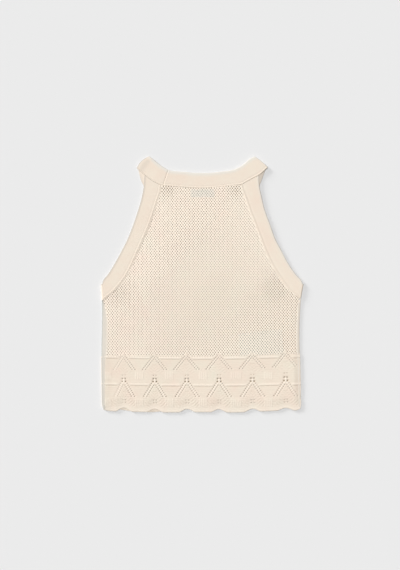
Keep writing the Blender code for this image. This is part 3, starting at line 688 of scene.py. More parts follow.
class Cloth:
    """Corners and faces of one piece while it is made."""

    def __init__(self, name: str) -> None:
        """Starts an empty piece.

        Args:
            name: Name of the piece.
        """
        self.name = name
        self.corners: list[Array] = []
        self.faces: list[Array] = []
        self.patterns: list[Array] = []
        self.tones: list[Array] = []
        self.count = 0

    def add(self, corners: Array, stretches: list[tuple[Array, Array]],
            tone: Array | None = None) -> None:
        """Adds one closed stretch of cloth or yarn, with its faces turned outwards.

        Args:
            corners: Corners in millimetres.
            stretches: Faces of one size by the numbers of their corners, each with the place of
                every face corner in the knit's own pattern.
            tone: Tone of each corner.
        """
        used = np.unique(np.concatenate([faces.ravel() for faces, _ in stretches]))
        numbers = np.zeros(len(corners), int)
        numbers[used] = np.arange(len(used)) + self.count
        middle = corners[used].mean(axis=0)
        total = sum(self.volume(corners - middle, faces) for faces, _ in stretches)
        way = 1 if total > 0 else -1
        for faces, pattern in stretches:
            self.faces.append(numbers[faces][:, ::way])
            self.patterns.append(pattern[:, ::way])
        self.corners.append(corners[used])
        self.tones.append(np.zeros(len(used)) if tone is None else tone.reshape(-1)[used])
        self.count += len(used)

    @staticmethod
    def volume(corners: Array, faces: Array) -> float:
        """Volume under some faces.

        Args:
            corners: Corners round a middle.
            faces: Faces by the numbers of their corners.

        Returns:
            Six times the volume, less than nothing where the faces point inwards.
        """
        total = 0.0
        first = corners[faces[:, 0]]
        for step in range(1, faces.shape[1] - 1):
            cross = np.cross(corners[faces[:, step]], corners[faces[:, step + 1]])
            total += float(np.einsum("ij,ij->", first, cross))
        return total

    def add_tube(self, rings: Array, pattern: Array, closed: bool = False,
                 lap: float = 0.0, tone: Array | None = None) -> None:
        """Adds a tube through rings of corners.

        Args:
            rings: Corners by ring and place in the ring.
            pattern: Pattern place of each corner.
            closed: Whether the last ring joins the first one.
            lap: What one lap round a ring adds to the pattern's second place.
            tone: Tone of each corner.
        """
        count, around = rings.shape[:2]
        numbers = np.arange(count * around).reshape(count, around)
        here = numbers if closed else numbers[:-1]
        there = np.roll(numbers, -1, axis=0) if closed else numbers[1:]
        quads = np.stack([here, np.roll(here, -1, axis=1), np.roll(there, -1, axis=1), there], axis=-1)
        flat = pattern.reshape(-1, 2)
        places = flat[quads]
        places[:, -1, 1:3, 1] += lap
        stretches = [(quads.reshape(-1, 4), places.reshape(-1, 4, 2))]
        if not closed:
            ends = np.stack([numbers[0, ::-1], numbers[-1]])
            stretches.append((ends, flat[ends]))
        self.add(rings.reshape(-1, 3), stretches, tone)

    def add_sheet(self, top: Array, bottom: Array, pattern: Array, kept: Array,
                  tone: Array, under_tone: Array) -> None:
        """Adds a sheet between two grids of corners, with a wall round its rim and its holes.

        Args:
            top: Corners of the upper face by row and column.
            bottom: Corners of the lower face.
            pattern: Pattern place of each corner.
            kept: Which cells of the grid are cloth, and not a hole.
            tone: Tone of each corner of the upper face.
            under_tone: The same for the lower face.
        """
        rows, columns = top.shape[:2]
        numbers = np.arange(rows * columns).reshape(rows, columns)
        cells = np.stack([numbers[:-1, :-1], numbers[:-1, 1:], numbers[1:, 1:], numbers[1:, :-1]], axis=-1)
        quads = cells[kept]
        edges = np.concatenate([quads[:, [side, (side + 1) % 4]] for side in range(4)])
        keys = edges[:, 0] * top.size + edges[:, 1]
        rim = edges[~np.isin(keys, edges[:, 1] * top.size + edges[:, 0])]
        under = rows * columns
        walls = np.stack([rim[:, 1], rim[:, 0], rim[:, 0] + under, rim[:, 1] + under], axis=-1)
        faces = np.concatenate([quads, quads[:, ::-1] + under, walls])
        flat = np.concatenate([pattern.reshape(-1, 2), pattern.reshape(-1, 2)])
        corners = np.concatenate([top.reshape(-1, 3), bottom.reshape(-1, 3)])
        tones = np.concatenate([tone.reshape(-1), under_tone.reshape(-1)])
        self.add(corners, [(faces, flat[faces])], tones)

    def make(self, shift: Array, finish: "Finish", cool_shade: Callable | None = None) -> bpy.types.Object:
        """Makes the piece's object.

        Args:
            shift: From the garment's middle to the frame's origin, in millimetres.
            finish: What the piece is made of.
            cool_shade: Gives the share of painted cool shade on the cloth, by how far across and up.

        Returns:
            The piece, riding on the garment.
        """
        mesh = bpy.data.meshes.new(self.name)
        faces = [face for stretch in self.faces for face in stretch.tolist()]
        corners = np.concatenate(self.corners)
        mesh.from_pydata(((corners + shift) * MM).tolist(), [], faces)
        # Share of painted cool shade at each corner
        if cool_shade is not None:
            cool_shades = cool_shade(corners[:, 0], corners[:, 1])
            mesh.attributes.new("painted_cool_shade", "FLOAT", "POINT").data.foreach_set("value", cool_shades)
        places = np.concatenate([pattern.reshape(-1, 2) for pattern in self.patterns])
        mesh.uv_layers.new(name="stitches").data.foreach_set("uv", places.ravel())
        # Tones of painted light and shade, one for each corner
        tones = np.concatenate(self.tones)
        mesh.attributes.new("painted_shading", "FLOAT", "POINT").data.foreach_set("value", tones)
        mesh.materials.append(finish.material())
        mesh.shade_smooth()
        mesh.set_sharp_from_angle(angle=SHARP_ANGLE)
        piece = bpy.data.objects.new(self.name, mesh)
        bpy.context.scene.collection.objects.link(piece)
        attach(piece, BODY)
        LOG.info("%s: %d triangles", self.name, sum(len(face) - 2 for face in faces))
        return piece


class Nodes:
    """Nodes of one material while it is built."""

    def __init__(self, tree: bpy.types.NodeTree) -> None:
        """Starts from the places on the piece.

        Args:
            tree: The material's node tree.
        """
        self.tree = tree
        self.place = self.add("ShaderNodeTexCoord", {}, {}).outputs

    def add(self, kind: str, settings: dict, links: dict) -> bpy.types.Node:
        """Adds a node.

        Args:
            kind: Type of the node.
            settings: Values of its sockets and properties, by name or number.
            links: Sockets of other nodes that feed its own, by name or number.

        Returns:
            The new node.
        """
        node = self.tree.nodes.new(kind)
        for key, value in settings.items():
            if isinstance(key, str) and key in node.bl_rna.properties:
                setattr(node, key, value)
            else:
                node.inputs[key].default_value = value
        for key, source in links.items():
            self.tree.links.new(source, node.inputs[key])
        return node

    def math(self, operation: str, first: Socket, second: float, third: Socket | None = None) -> Socket:
        """Adds a sum.

        Args:
            operation: What is done.
            first: Value that feeds it.
            second: Constant beside it.
            third: Value that is added, where the operation has one.

        Returns:
            Its result.
        """
        links = {0: first} if third is None else {0: first, 2: third}
        return self.add("ShaderNodeMath", {"operation": operation, 1: second}, links).outputs[0]

    def bump(self, strength: float, depth_mm: float, height: Socket, under: Socket | None = None) -> Socket:
        """Adds a relief.

        Args:
            strength: How strongly it shows.
            depth_mm: Its real depth.
            height: Its height at each place.
            under: Normal of a relief that it lies over.

        Returns:
            The normal.
        """
        links = {"Height": height} if under is None else {"Height": height, "Normal": under}
        settings = {"Strength": strength, "Distance": depth_mm * MM}
        return self.add("ShaderNodeBump", settings, links).outputs[0]

    def mix(self, share: Socket, first: Socket, second: str, blend: str = "MIX") -> Socket:
        """Mixes a colour into another one.

        Args:
            share: Share of the second colour.
            first: The first colour.
            second: The second colour as a hex code.
            blend: How the two are joined.

        Returns:
            The mixed colour.
        """
        settings = {"data_type": "RGBA", "blend_type": blend, MIX_SECOND: linear(second)}
        return self.add("ShaderNodeMix", settings, {0: share, MIX_FIRST: first}).outputs[MIX_RESULT]

    def attribute(self, name: str) -> Socket:
        """Value of one of the mesh's own attributes."""
        return self.add("ShaderNodeAttribute", {"attribute_name": name}, {}).outputs["Fac"]

    def stitches(self) -> bpy.types.NodeOutputs:
        """Places in the knit's own pattern, along and across it."""
        return self.add("ShaderNodeSeparateXYZ", {}, {0: self.place["UV"]}).outputs


@dataclass(frozen=True)
class Finish:
    """Combed cotton and viscose yarn: matt, with a faint bloom of loose fibre over soft colour drift.

    The drift is far wider than a stitch, as in yarn that takes its dye a little unevenly, and the fibre
    is drawn coarser than real so that it shows at all. Over the drift the colour carries painted light and
    shade: a painted shade colour, a painted highlight colour and a painted cool shade, set by the piece's
    tones.
    """
    name: str
    slot: str
    light: str
    shade: str
    roughness: float = 0.88
    sheen: float = 0.2
    sheen_roughness: float = 0.5
    specular: float = 0.25
    drift_mm: float = 46.0
    drift_detail: float = 5.0
    drift_roughness: float = 0.72
    drift_range: tuple = (0.3, 0.7)
    fibre_mm: float = 0.7
    fibre_depth_mm: float = 0.1
    fibre_detail: float = 2.0
    # Colours of the painted shade, of the painted highlight and of the painted cool shade
    painted_shade: str = "#B6A48D"
    painted_highlight: str = "#FFF4E6"
    cool: str = "#F0F5F8"

    def material(self) -> bpy.types.Material:
        """The finish's material, made once."""
        return bpy.data.materials.get(self.name) or self.build()

    def build(self) -> bpy.types.Material:
        """Builds the material's nodes.

        Returns:
            The new material.
        """
        material = bpy.data.materials.new(self.name)
        material.use_nodes = True
        shader = material.node_tree.nodes["Principled BSDF"]
        shader.inputs["Roughness"].default_value = self.roughness
        shader.inputs["Specular IOR Level"].default_value = self.specular
        shader.inputs["Sheen Weight"].default_value = self.sheen
        shader.inputs["Sheen Roughness"].default_value = self.sheen_roughness
        nodes = Nodes(material.node_tree)
        drift = nodes.add(
            "ShaderNodeTexNoise",
            {"Scale": 1.0 / (self.drift_mm * MM), "Detail": self.drift_detail,
             "Roughness": self.drift_roughness},
            {"Vector": nodes.place["Object"]})
        spread = nodes.add(
            "ShaderNodeMapRange", {"From Min": self.drift_range[0], "From Max": self.drift_range[1]},
            {"Value": drift.outputs[0]})
        colour = nodes.add(
            "ShaderNodeMix",
            {"data_type": "RGBA", MIX_FIRST: linear(self.shade), MIX_SECOND: linear(self.light)},
            {0: spread.outputs[0]}).outputs[MIX_RESULT]
        # Painted light and shade: painted highlight where the tone is under nothing, painted shade where it
        # is over, then the painted cool shade
        tone = nodes.attribute("painted_shading")
        colour = nodes.mix(nodes.math("MULTIPLY", tone, -1.0), colour, self.painted_highlight)
        colour = nodes.mix(tone, colour, self.painted_shade)
        colour = nodes.mix(nodes.attribute("painted_cool_shade"), colour, self.cool, "MULTIPLY")
        nodes.tree.links.new(colour, shader.inputs["Base Color"])
        nodes.tree.links.new(self.relief(nodes), shader.inputs["Normal"])
        return material

    def relief(self, nodes: Nodes) -> Socket:
        """Adds the loose fibre of the surface.

        Args:
            nodes: The material's nodes.

        Returns:
            The normal.
        """
        fibre = nodes.add(
            "ShaderNodeTexNoise", {"Scale": 1.0 / (self.fibre_mm * MM), "Detail": self.fibre_detail},
            {"Vector": nodes.place["Object"]})
        return nodes.bump(0.5, self.fibre_depth_mm, fibre.outputs[0])


@dataclass(frozen=True)
class PliedYarn(Finish):
    """Two-ply yarn of the net, whose plies wind round each other in fine slanted ridges."""
    ply_mm: float = 1.7
    ply_depth_mm: float = 0.16

    def relief(self, nodes: Nodes) -> Socket:
        """Adds the plies over the fibre.

        Args:
            nodes: The material's nodes.

        Returns:
            The normal.
        """
        along, around = nodes.stitches()[:2]
        plies = nodes.math("PINGPONG", nodes.math("MULTIPLY_ADD", along, 1.0 / self.ply_mm, around), 0.5)
        return nodes.bump(0.6, self.ply_depth_mm, plies, super().relief(nodes))


@dataclass(frozen=True)
class JerseyKnit(Finish):
    """Fine plain knit: columns of V stitches, read from the piece's own stitch pattern."""
    stitch_depth_mm: float = 0.3
    leg_slant: float = 0.9
    column_depth: float = 2.4

    def relief(self, nodes: Nodes) -> Socket:
        """Adds the stitches over the fibre.

        Args:
            nodes: The material's nodes.

        Returns:
            The normal.
        """
        column, row = nodes.stitches()[:2]
        beside = nodes.math("PINGPONG", column, 0.5)
        legs = nodes.math("PINGPONG", nodes.math("MULTIPLY_ADD", beside, self.leg_slant, row), 0.5)
        both = nodes.math("MULTIPLY_ADD", nodes.math("PINGPONG", beside, 0.25), self.column_depth, legs)
        return nodes.bump(0.5, self.stitch_depth_mm, both, super().relief(nodes))


@dataclass(frozen=True)
class WovenTape(Finish):
    """Satin-woven label tape: close fine warp threads that catch a little light."""
    thread_mm: float = 0.5
    thread_depth_mm: float = 0.06
    thread_distortion: float = 0.4

    def relief(self, nodes: Nodes) -> Socket:
        """Adds the threads.

        Args:
            nodes: The material's nodes.

        Returns:
            The normal.
        """
        threads = nodes.add(
            "ShaderNodeTexWave",
            {"bands_direction": "X", "Scale": WAVE_SCALE / (self.thread_mm * MM),
             "Distortion": self.thread_distortion},
            {"Vector": nodes.place["Object"]})
        return nodes.bump(0.5, self.thread_depth_mm, threads.outputs[1])


# Net: loosely spun two-ply yarn, with painted highlights where its crests catch the light and warm painted
# shade between them
NET_YARN = PliedYarn(
    "combed_cotton_net_yarn", "net_knit", "#F8EEDD", "#FAE8D9", painted_shade="#B8A188", painted_highlight="#FFF6E6")

# Border and seams: close plain knit of the same yarn, a little deeper in colour than the open net, with
# brown painted shade in the border and grey painted shade on the seams
BORDER_KNIT = JerseyKnit(
    "cotton_pointelle_knit", "net_knit", "#E8DFCE", "#EAD8C8", painted_shade="#AF9A7E")
SEAM_KNIT = JerseyKnit("cotton_seam_knit", "net_knit", "#E7DED1", "#E4D9CB", painted_shade="#B6B6B0")

# Bands: double knit, pressed flat, with almost no relief, and cool painted shade and painted highlights at
# their edges
BAND_KNIT = JerseyKnit(
    "cotton_double_knit", "band_knit", "#E9DFCF", "#E9D8C8", painted_shade="#AFA9A0", painted_highlight="#E0E0D9",
    stitch_depth_mm=0.12)
LINKING_YARN = PliedYarn("combed_cotton_linking_yarn", "band_knit", "#E4D8C8", "#DFD1C1")

# Labels: bright woven tape, but toned down as it lies in the shade between the panels
LABEL_TAPE = WovenTape("pale_satin_label_tape", "woven_label", "#969E98", "#929993", 0.6, 0.0)
CARE_TAPE = WovenTape("pale_taffeta_label_tape", "woven_label", "#A9A99F", "#A4A49A", 0.6, 0.0)


def yarn(centres: Array, width: Array, height: Array, section: list) -> Array:
    """Rings of a yarn round its middle line.

    Args:
        centres: Places on the middle line.
        width: Its width at each of them.
        height: Its height at each of them.
        section: Corners of a ring as shares of half the width and half the height.

    Returns:
        Corners by ring and place in the ring.
    """
    ahead = np.gradient(centres, axis=0)
    ahead /= np.linalg.norm(ahead, axis=1, keepdims=True)
    aside = np.stack([-ahead[:, 1], ahead[:, 0], np.zeros(len(ahead))], axis=1)
    aside /= np.linalg.norm(aside, axis=1, keepdims=True)
    above = np.cross(ahead, aside)
    shares = np.array(section)
    out = aside[:, None] * (shares[:, 0] * width[:, None] / 2)[..., None]
    return centres[:, None] + out + above[:, None] * (shares[:, 1] * height[:, None] / 2)[..., None]


def yarn_pattern(centres: Array, sides: int) -> Array:
    """Pattern places on a yarn.

    Args:
        centres: Places on its middle line.
        sides: Corners of a ring.

    Returns:
        Length along the yarn in millimetres and share of the way round it, for each corner.
    """
    steps = np.linalg.norm(np.diff(centres, axis=0), axis=1)
    along = np.concatenate([[0.0], np.cumsum(steps)])
    around = np.arange(sides) / sides
    return np.stack(np.broadcast_arrays(along[:, None], around[None, :]), axis=-1)


@dataclass
class Border:
    """Pointelle border of one panel on a grid of stitches, with its eyelets open."""
    outline: Outline
    layer: Layer
    repeat: int = 24
    left_end: float = -15.5
    right_end: float = 130.5
    stitch_step: float = 0.5
    row_step: float = 0.25
    edge_step: float = 0.5
    top_row: float = -2.5
    hem_row: float = 32.0
    plain_top: float = -0.9
    peak_rise: float = 1.5
    peak_reach: float = 3.0
    leg_rows: float = 8.0
    leg_stitches: float = 2.0
    eyelet_reach: float = 0.78
    eyelet_tall: float = 1.15
    eyelet_flat: float = 0.9
    foot_eyelet: float = 1.1
    large_eyelet: float = 1.3
    rim_drop: float = 0.4
    # Painted shade on the eyelets' rims
    rim_painted_shade: float = 0.25
    highest_relief: float = 0.75
    hem_rise: float = 3.2
    hem_round: float = 1.2
    hem_drop: float = 0.6
    hem_lift: float = 0.3
    # Painted highlight near the hem, against the shade of its slope
    hem_painted_highlight: float = 0.3
    hem_painted_highlight_rows: float = 5.0
    # Painted shade at the left margin
    margin_painted_shade: float = 0.12
    margin_reach: tuple = (28.0, 3.0)
    # Painted shade in furrows and painted highlight on ridges
    furrow_painted_shade: float = 0.8
    crest_painted_highlight: float = 0.5
    deepest_painted_shade: float = 0.7
    # Painted shade over the hidden border, all but its last rows at the hem
    hidden_painted_shade: float = 1.0
    inner_hem_rows: tuple = (2.0, 4.0)
    row_knots: tuple = (-2.5, 0.0, 8.0, 16.0, 24.0)
    upper_falls: tuple = (4.0, 29.3)
    lower_falls: tuple = (4.5, 32.7)

    def middles(self, row: Array) -> Array:
        """How far across the chevrons' middles lie at some rows: one line for each chevron."""
        share = np.clip(row / self.hem_row, 0.0, 1.0)
        return np.array([c.across + (c.foot_across - c.across) * share for c in CHEVRONS])

    def from_middle(self, stitch: Array) -> tuple[Array, Array]:
        """Number of the nearest chevron, and stitches from its middle."""
        number = np.clip(np.round(stitch / self.repeat), 0, len(CHEVRONS) - 1).astype(int)
        return number, stitch - number * self.repeat

    def ups(self, stitch: Array, row: Array, hem: Array) -> Array:
        """How far up places lie.

        Args:
            stitch: Stitches from the first chevron's middle.
            row: Rows of eyelets from the tops of the upper chevrons.
            hem: How far up the hem lies there.

        Returns:
            One value for each place.
        """
        at = np.arange(len(CHEVRONS)) * self.repeat
        upper = np.interp(stitch, at, [chevron.upper_top for chevron in CHEVRONS])
        lower = np.interp(stitch, at, [chevron.lower_top for chevron in CHEVRONS])
        first, second = self.upper_falls
        third, fourth = self.lower_falls
        highest = upper - first - self.top_row * (second - first) / self.leg_rows
        levels = [highest, upper - first, upper - second, lower - third, lower - fourth, hem]
        knots = [*self.row_knots, self.hem_row]
        up = np.broadcast_to(highest, np.broadcast(stitch, row).shape).copy()
        for index in range(len(knots) - 1):
            share = (row - knots[index]) / (knots[index + 1] - knots[index])
            level = levels[index] + (levels[index + 1] - levels[index]) * np.minimum(share, 1.0)
            up = np.where(share > 0.0, level, up)
        return up

    def spread(self, steps: Array, row: Array, width: Array,
               opening: Array) -> Array:
        """Distance from a chevron's middle: stitches are wider inside its legs.

        Args:
            steps: Stitches from the chevron's middle.
            row: Rows from the tops of the upper chevrons.
            width: Mean width of a stitch.
            opening: How wide the leg spreads.

        Returns:
            The distance in millimetres.
        """
        size = np.abs(steps)
        half = self.repeat / 2
        even = size * width
        result = even
        for tier in TIERS:
            count = np.clip(row - tier.top, 0.0, self.leg_rows)
            inner = tier.inner_width * opening
            legs = self.leg_stitches * tier.leg_width
            outer = (half * width - inner * count - legs) / (half - self.leg_stitches - count)
            warped = inner * np.minimum(size, count)
            warped = warped + tier.leg_width * np.clip(size - count, 0.0, self.leg_stitches)
            warped = warped + outer * np.maximum(size - count - self.leg_stitches, 0.0)
            warped = np.where(size > half, even, warped)
            result = result + (warped - even) * tier.rows.share(row)
        return result

    def places(self, stitch: Array, row: Array) -> tuple[Array, Array]:
        """Where stitches lie on the garment.

        Args:
            stitch: Stitches from the first chevron's middle.
            row: Rows from the tops of the upper chevrons.

        Returns:
            How far across and up each one lies.
        """
        stitch, row = np.broadcast_arrays(np.asarray(stitch, float), np.asarray(row, float))
        feet = [chevron.foot_across for chevron in CHEVRONS]
        rough = np.interp(
            stitch, [self.left_end, *(np.arange(len(feet)) * self.repeat), self.right_end],
            [SIDE_EDGE[Side.LEFT][-1].across, *feet, SIDE_EDGE[Side.RIGHT][-1].across])
        up = self.ups(stitch, row, self.outline.hem_up(rough, self.layer))
        left = self.outline.side_across(Side.LEFT, up)
        right = self.outline.side_across(Side.RIGHT, up)
        number, steps = self.from_middle(stitch)
        middles = self.middles(row)
        last = len(middles) - 1
        before, own, after = (
            np.take_along_axis(middles, np.clip(number + step, 0, last)[None], axis=0)[0]
            for step in (-1, 0, 1))
        right_count = self.right_end - last * self.repeat
        left_width = np.where(number == 0, (own - left) / -self.left_end, (own - before) / self.repeat)
        right_width = np.where(number == last, (right - own) / right_count, (after - own) / self.repeat)
        width = np.where(steps < 0, left_width, right_width)
        spreads = np.array([(chevron.left_spread, chevron.right_spread) for chevron in CHEVRONS])[number]
        opening = np.where(steps < 0, spreads[..., 0], spreads[..., 1])
        return own + np.sign(steps) * self.spread(steps, row, width, opening), up

    def top_row_at(self, stitch: Array) -> Array:
        """First row of the border, which rises to a small peak over each chevron."""
        _, steps = self.from_middle(stitch)
        return self.plain_top - self.peak_rise * hill(steps / self.peak_reach)

    def top_up(self, across: Array, peaks: bool = True) -> Array:
        """How far up the border's upper edge lies.

        Args:
            across: Places across.
            peaks: Whether the edge rises over each chevron, or runs plain.

        Returns:
            The edge's place at each of them.
        """
        stitch = np.arange(self.left_end, self.right_end + self.edge_step / 2, self.edge_step)
        rows = self.top_row_at(stitch) if peaks else np.full(len(stitch), self.plain_top)
        return np.interp(across, *self.places(stitch, rows))

    def eyelets(self) -> list[Dot]:
        """Lists the eyelets of one repeat.

        Returns:
            The eyelets, with their rows counted from the tops of the upper chevrons.
        """
        found = [Dot(0.0, 0.0, 1.0)]
        last = int(self.leg_rows) - 1
        for side in (-1.0, 1.0):
            for tier in TIERS:
                found += [Dot(side * step, tier.top + step, 1.0) for step in range(1, last + 1)]
                found += [
                    Dot(side * (step + self.leg_stitches), tier.top + step,
                        self.foot_eyelet if step == last else 1.0)
                    for step in range(last + 1)]
            found += [dot._replace(steps=side * dot.steps) for dot in PEAK_EYELETS]
        return found

    @staticmethod
    def crispness(across: Array) -> Array:
        """How crisp the pattern is at some places across."""
        return LEAST_CRISP + (1.0 - LEAST_CRISP) * CRISP_ACROSS.share(across)

    def chevron_relief(self, tier: Tier, size: Array, count: Array,
                       crisp: Array) -> tuple[Array, Array, Array]:
        """Relief of the chevrons of one tier.

        Args:
            tier: The tier.
            size: Stitches from the chevron's middle.
            count: Rows from its top.
            crisp: How crisp the pattern is.

        Returns:
            Height of the ground, height of the beads, and the beads' painted highlight.
        """
        inside = crisp * LEG_ROWS.share(count)
        beside = size - np.clip(count, -1.0, self.leg_rows) - self.leg_stitches / 2
        beads = inside * LEG_BEADS.at(beside, count)
        painted_bead_highlight = inside * LEG_BEAD_PAINTED_HIGHLIGHT.at(beside, count)
        ground = np.zeros(size.shape)
        for way in (-1.0, 1.0):
            ground -= inside * LEG_FURROW.at(beside + way * LEG_FURROW_ASIDE, count)
            ground += inside * LEG_BANK.at(beside + way * LEG_BANK_ASIDE)
        for pit in CLUSTER_PITS:
            far = np.hypot((size - pit.steps) / PIT_REACH[0], (count - pit.row) / PIT_REACH[1])
            ground -= pit.size * hill(far)
        if tier.knob:
            knob = crisp * hill(np.hypot(size / KNOB_REACH[0], (count - KNOB_ROW) / KNOB_REACH[1]))
            beads += KNOB_HEIGHT * knob
            painted_bead_highlight += KNOB_PAINTED_HIGHLIGHT * knob
        within = fade(count - size, *SLANT_INSIDE) * fade(count, *SLANT_END)
        ground += SLANT_HEIGHT * within * ripple(size * SLANT_TURNS[0] + count * SLANT_TURNS[1])
        return ground, beads, painted_bead_highlight

    @staticmethod
    def rib_height(across: Array, up: Array) -> Array:
        """Height of the upright ribs.

        Args:
            across: Places across.
            up: Places up.

        Returns:
            The height at each place.
        """
        height = np.zeros(across.shape)
        for group in RIB_GROUPS:
            for band in RIB_BANDS:
                for rib in range(group.ribs):
                    middle = group.across + (rib - (group.ribs - 1) / 2) * RIB_PITCH
                    height += band.share(up) * RIB.at(across - middle)
        return height

    def relief(self, stitch: Array, row: Array, across: Array,
               up: Array) -> tuple[Array, Array]:
        """How far the shown face stands out, and its painted shading.

        Args:
            stitch: Stitches from the first chevron's middle.
            row: Rows from the tops of the upper chevrons.
            across: How far across each place lies.
            up: How far up it lies.

        Returns:
            The height over the plain face, and the painted shading.
        """
        _, steps = self.from_middle(stitch)
        size = np.abs(steps)
        plain = self.rib_height(across, up)
        beads = np.zeros(stitch.shape)
        painted_bead_highlight = np.zeros(stitch.shape)
        crisp = self.crispness(across)
        for tier, welt in zip(TIERS, self.outline.welt_lines):
            count = row - tier.top
            below = welt(across) - up
            roll = WELT_ROLL.at(below) - WELT_FURROW.at(below - WELT_FURROW_DROP)
            clear = size - np.clip(count, 0.0, self.leg_rows) - self.leg_stitches
            for total, part in zip((plain, beads, painted_bead_highlight), self.chevron_relief(tier, size, count, crisp)):
                total += part
            plain += fade(clear, 1.0, 2.0) * roll
        fan = FAN_ROWS.share(row) * FAN_STITCHES.share(size)
        plain += FAN_HEIGHT * fan * ripple(size * FAN_TURNS[0] + row * FAN_TURNS[1])
        plain += ROW_HEIGHT * ripple(row)
        # Painted shade in furrows, painted highlight on ridges and beads, painted shade at the left margin
        # and a painted highlight near the hem
        tone = -plain * np.where(plain < 0.0, self.furrow_painted_shade, self.crest_painted_highlight) - painted_bead_highlight
        margin = across - self.outline.side_across(Side.LEFT, up)
        tone = tone + self.margin_painted_shade * fade(margin, *self.margin_reach)
        tone = tone - self.hem_painted_highlight * fade(self.hem_row - row, self.hem_painted_highlight_rows, 0.0)
        return plain + beads, np.clip(tone, -1.0, self.deepest_painted_shade)

    def open_eyelets(self, across: Array, up: Array) -> tuple[Array, Array]:
        """Opens the eyelets: takes out their cells and moves the corners round each into a ring.

        Args:
            across: How far across each corner of the grid lies, changed in place.
            up: How far up it lies, changed in place.

        Returns:
            Which cells are cloth, and how far each corner sinks at the rim of an eyelet.
        """
        rows, columns = across.shape
        kept = np.ones((rows - 1, columns - 1), bool)
        lowered = np.zeros(across.shape)
        for number, eyelet in product(range(len(CHEVRONS)), self.eyelets()):
            column = round((eyelet.steps + number * self.repeat - self.left_end) / self.stitch_step)
            line = round((eyelet.row - self.top_row) / self.row_step)
            if not (1 < column < columns - 2 and 1 < line < rows - 2):
                continue
            tall = 2 if self.layer is Layer.SHOWN and eyelet.size > self.large_eyelet else 1
            kept[line - tall:line + tall, column - 1:column + 1] = False
            centre = (across[line, column], up[line, column])
            size = eyelet.size * float(self.crispness(centre[0]))
            wide = self.eyelet_reach * size
            high = wide * (self.eyelet_tall if tall > 1 else self.eyelet_flat)
            ring = [(down, aside) for down in range(-tall, tall + 1) for aside in (-1, 0, 1)
                    if abs(aside) == 1 or abs(down) == tall]
            for down, aside in ring:
                angle = math.atan2(-down / tall, aside)
                across[line + down, column + aside] = centre[0] + wide * math.cos(angle)
                up[line + down, column + aside] = centre[1] + high * math.sin(angle)
                lowered[line + down, column + aside] = self.rim_drop * size
        return kept, lowered

    def build(self, cloth: Cloth) -> None:
        """Adds the border to a piece.

        Args:
            cloth: The piece.
        """
        stitches = np.arange(self.left_end, self.right_end + self.stitch_step / 2, self.stitch_step)
        rows = np.arange(self.top_row, self.hem_row + self.row_step / 2, self.row_step)
        stitch, row = np.meshgrid(stitches, rows)
        row = np.where(row < 0.0, row * self.top_row_at(stitch) / self.top_row, row)
        across, up = self.places(stitch, row)
        kept, lowered = self.open_eyelets(across, up)
        base = self.outline.rest(across, up, self.layer)
        if self.layer is Layer.SHOWN:
            raised, tone = self.relief(stitch, row, across, up)
            # Painted shade on the eyelets' rims
            tone = np.where(lowered > 0.0, self.rim_painted_shade * (lowered / self.rim_drop) ** 3, tone)
        else:
            # The hidden border gets painted shade, all but its hem
            raised, tone = 0.0, self.hidden_painted_shade * fade(self.hem_row - row, *self.inner_hem_rows)
        at_hem = (1.0 - np.minimum((self.hem_row - row) * self.hem_rise / self.hem_round, 1.0)) ** 2
        top = base + PANEL_WALL + np.minimum(raised, self.highest_relief) - lowered - self.hem_drop * at_hem
        bottom = base + self.hem_lift * at_hem
        pattern = np.stack([stitch, row * 2.0], axis=-1)
        # The lower face gets painted shade round the eyelets
        cloth.add_sheet(np.stack([across, up, top], axis=-1), np.stack([across, up, bottom], axis=-1),
                        pattern, kept, tone, lowered * 2.0)


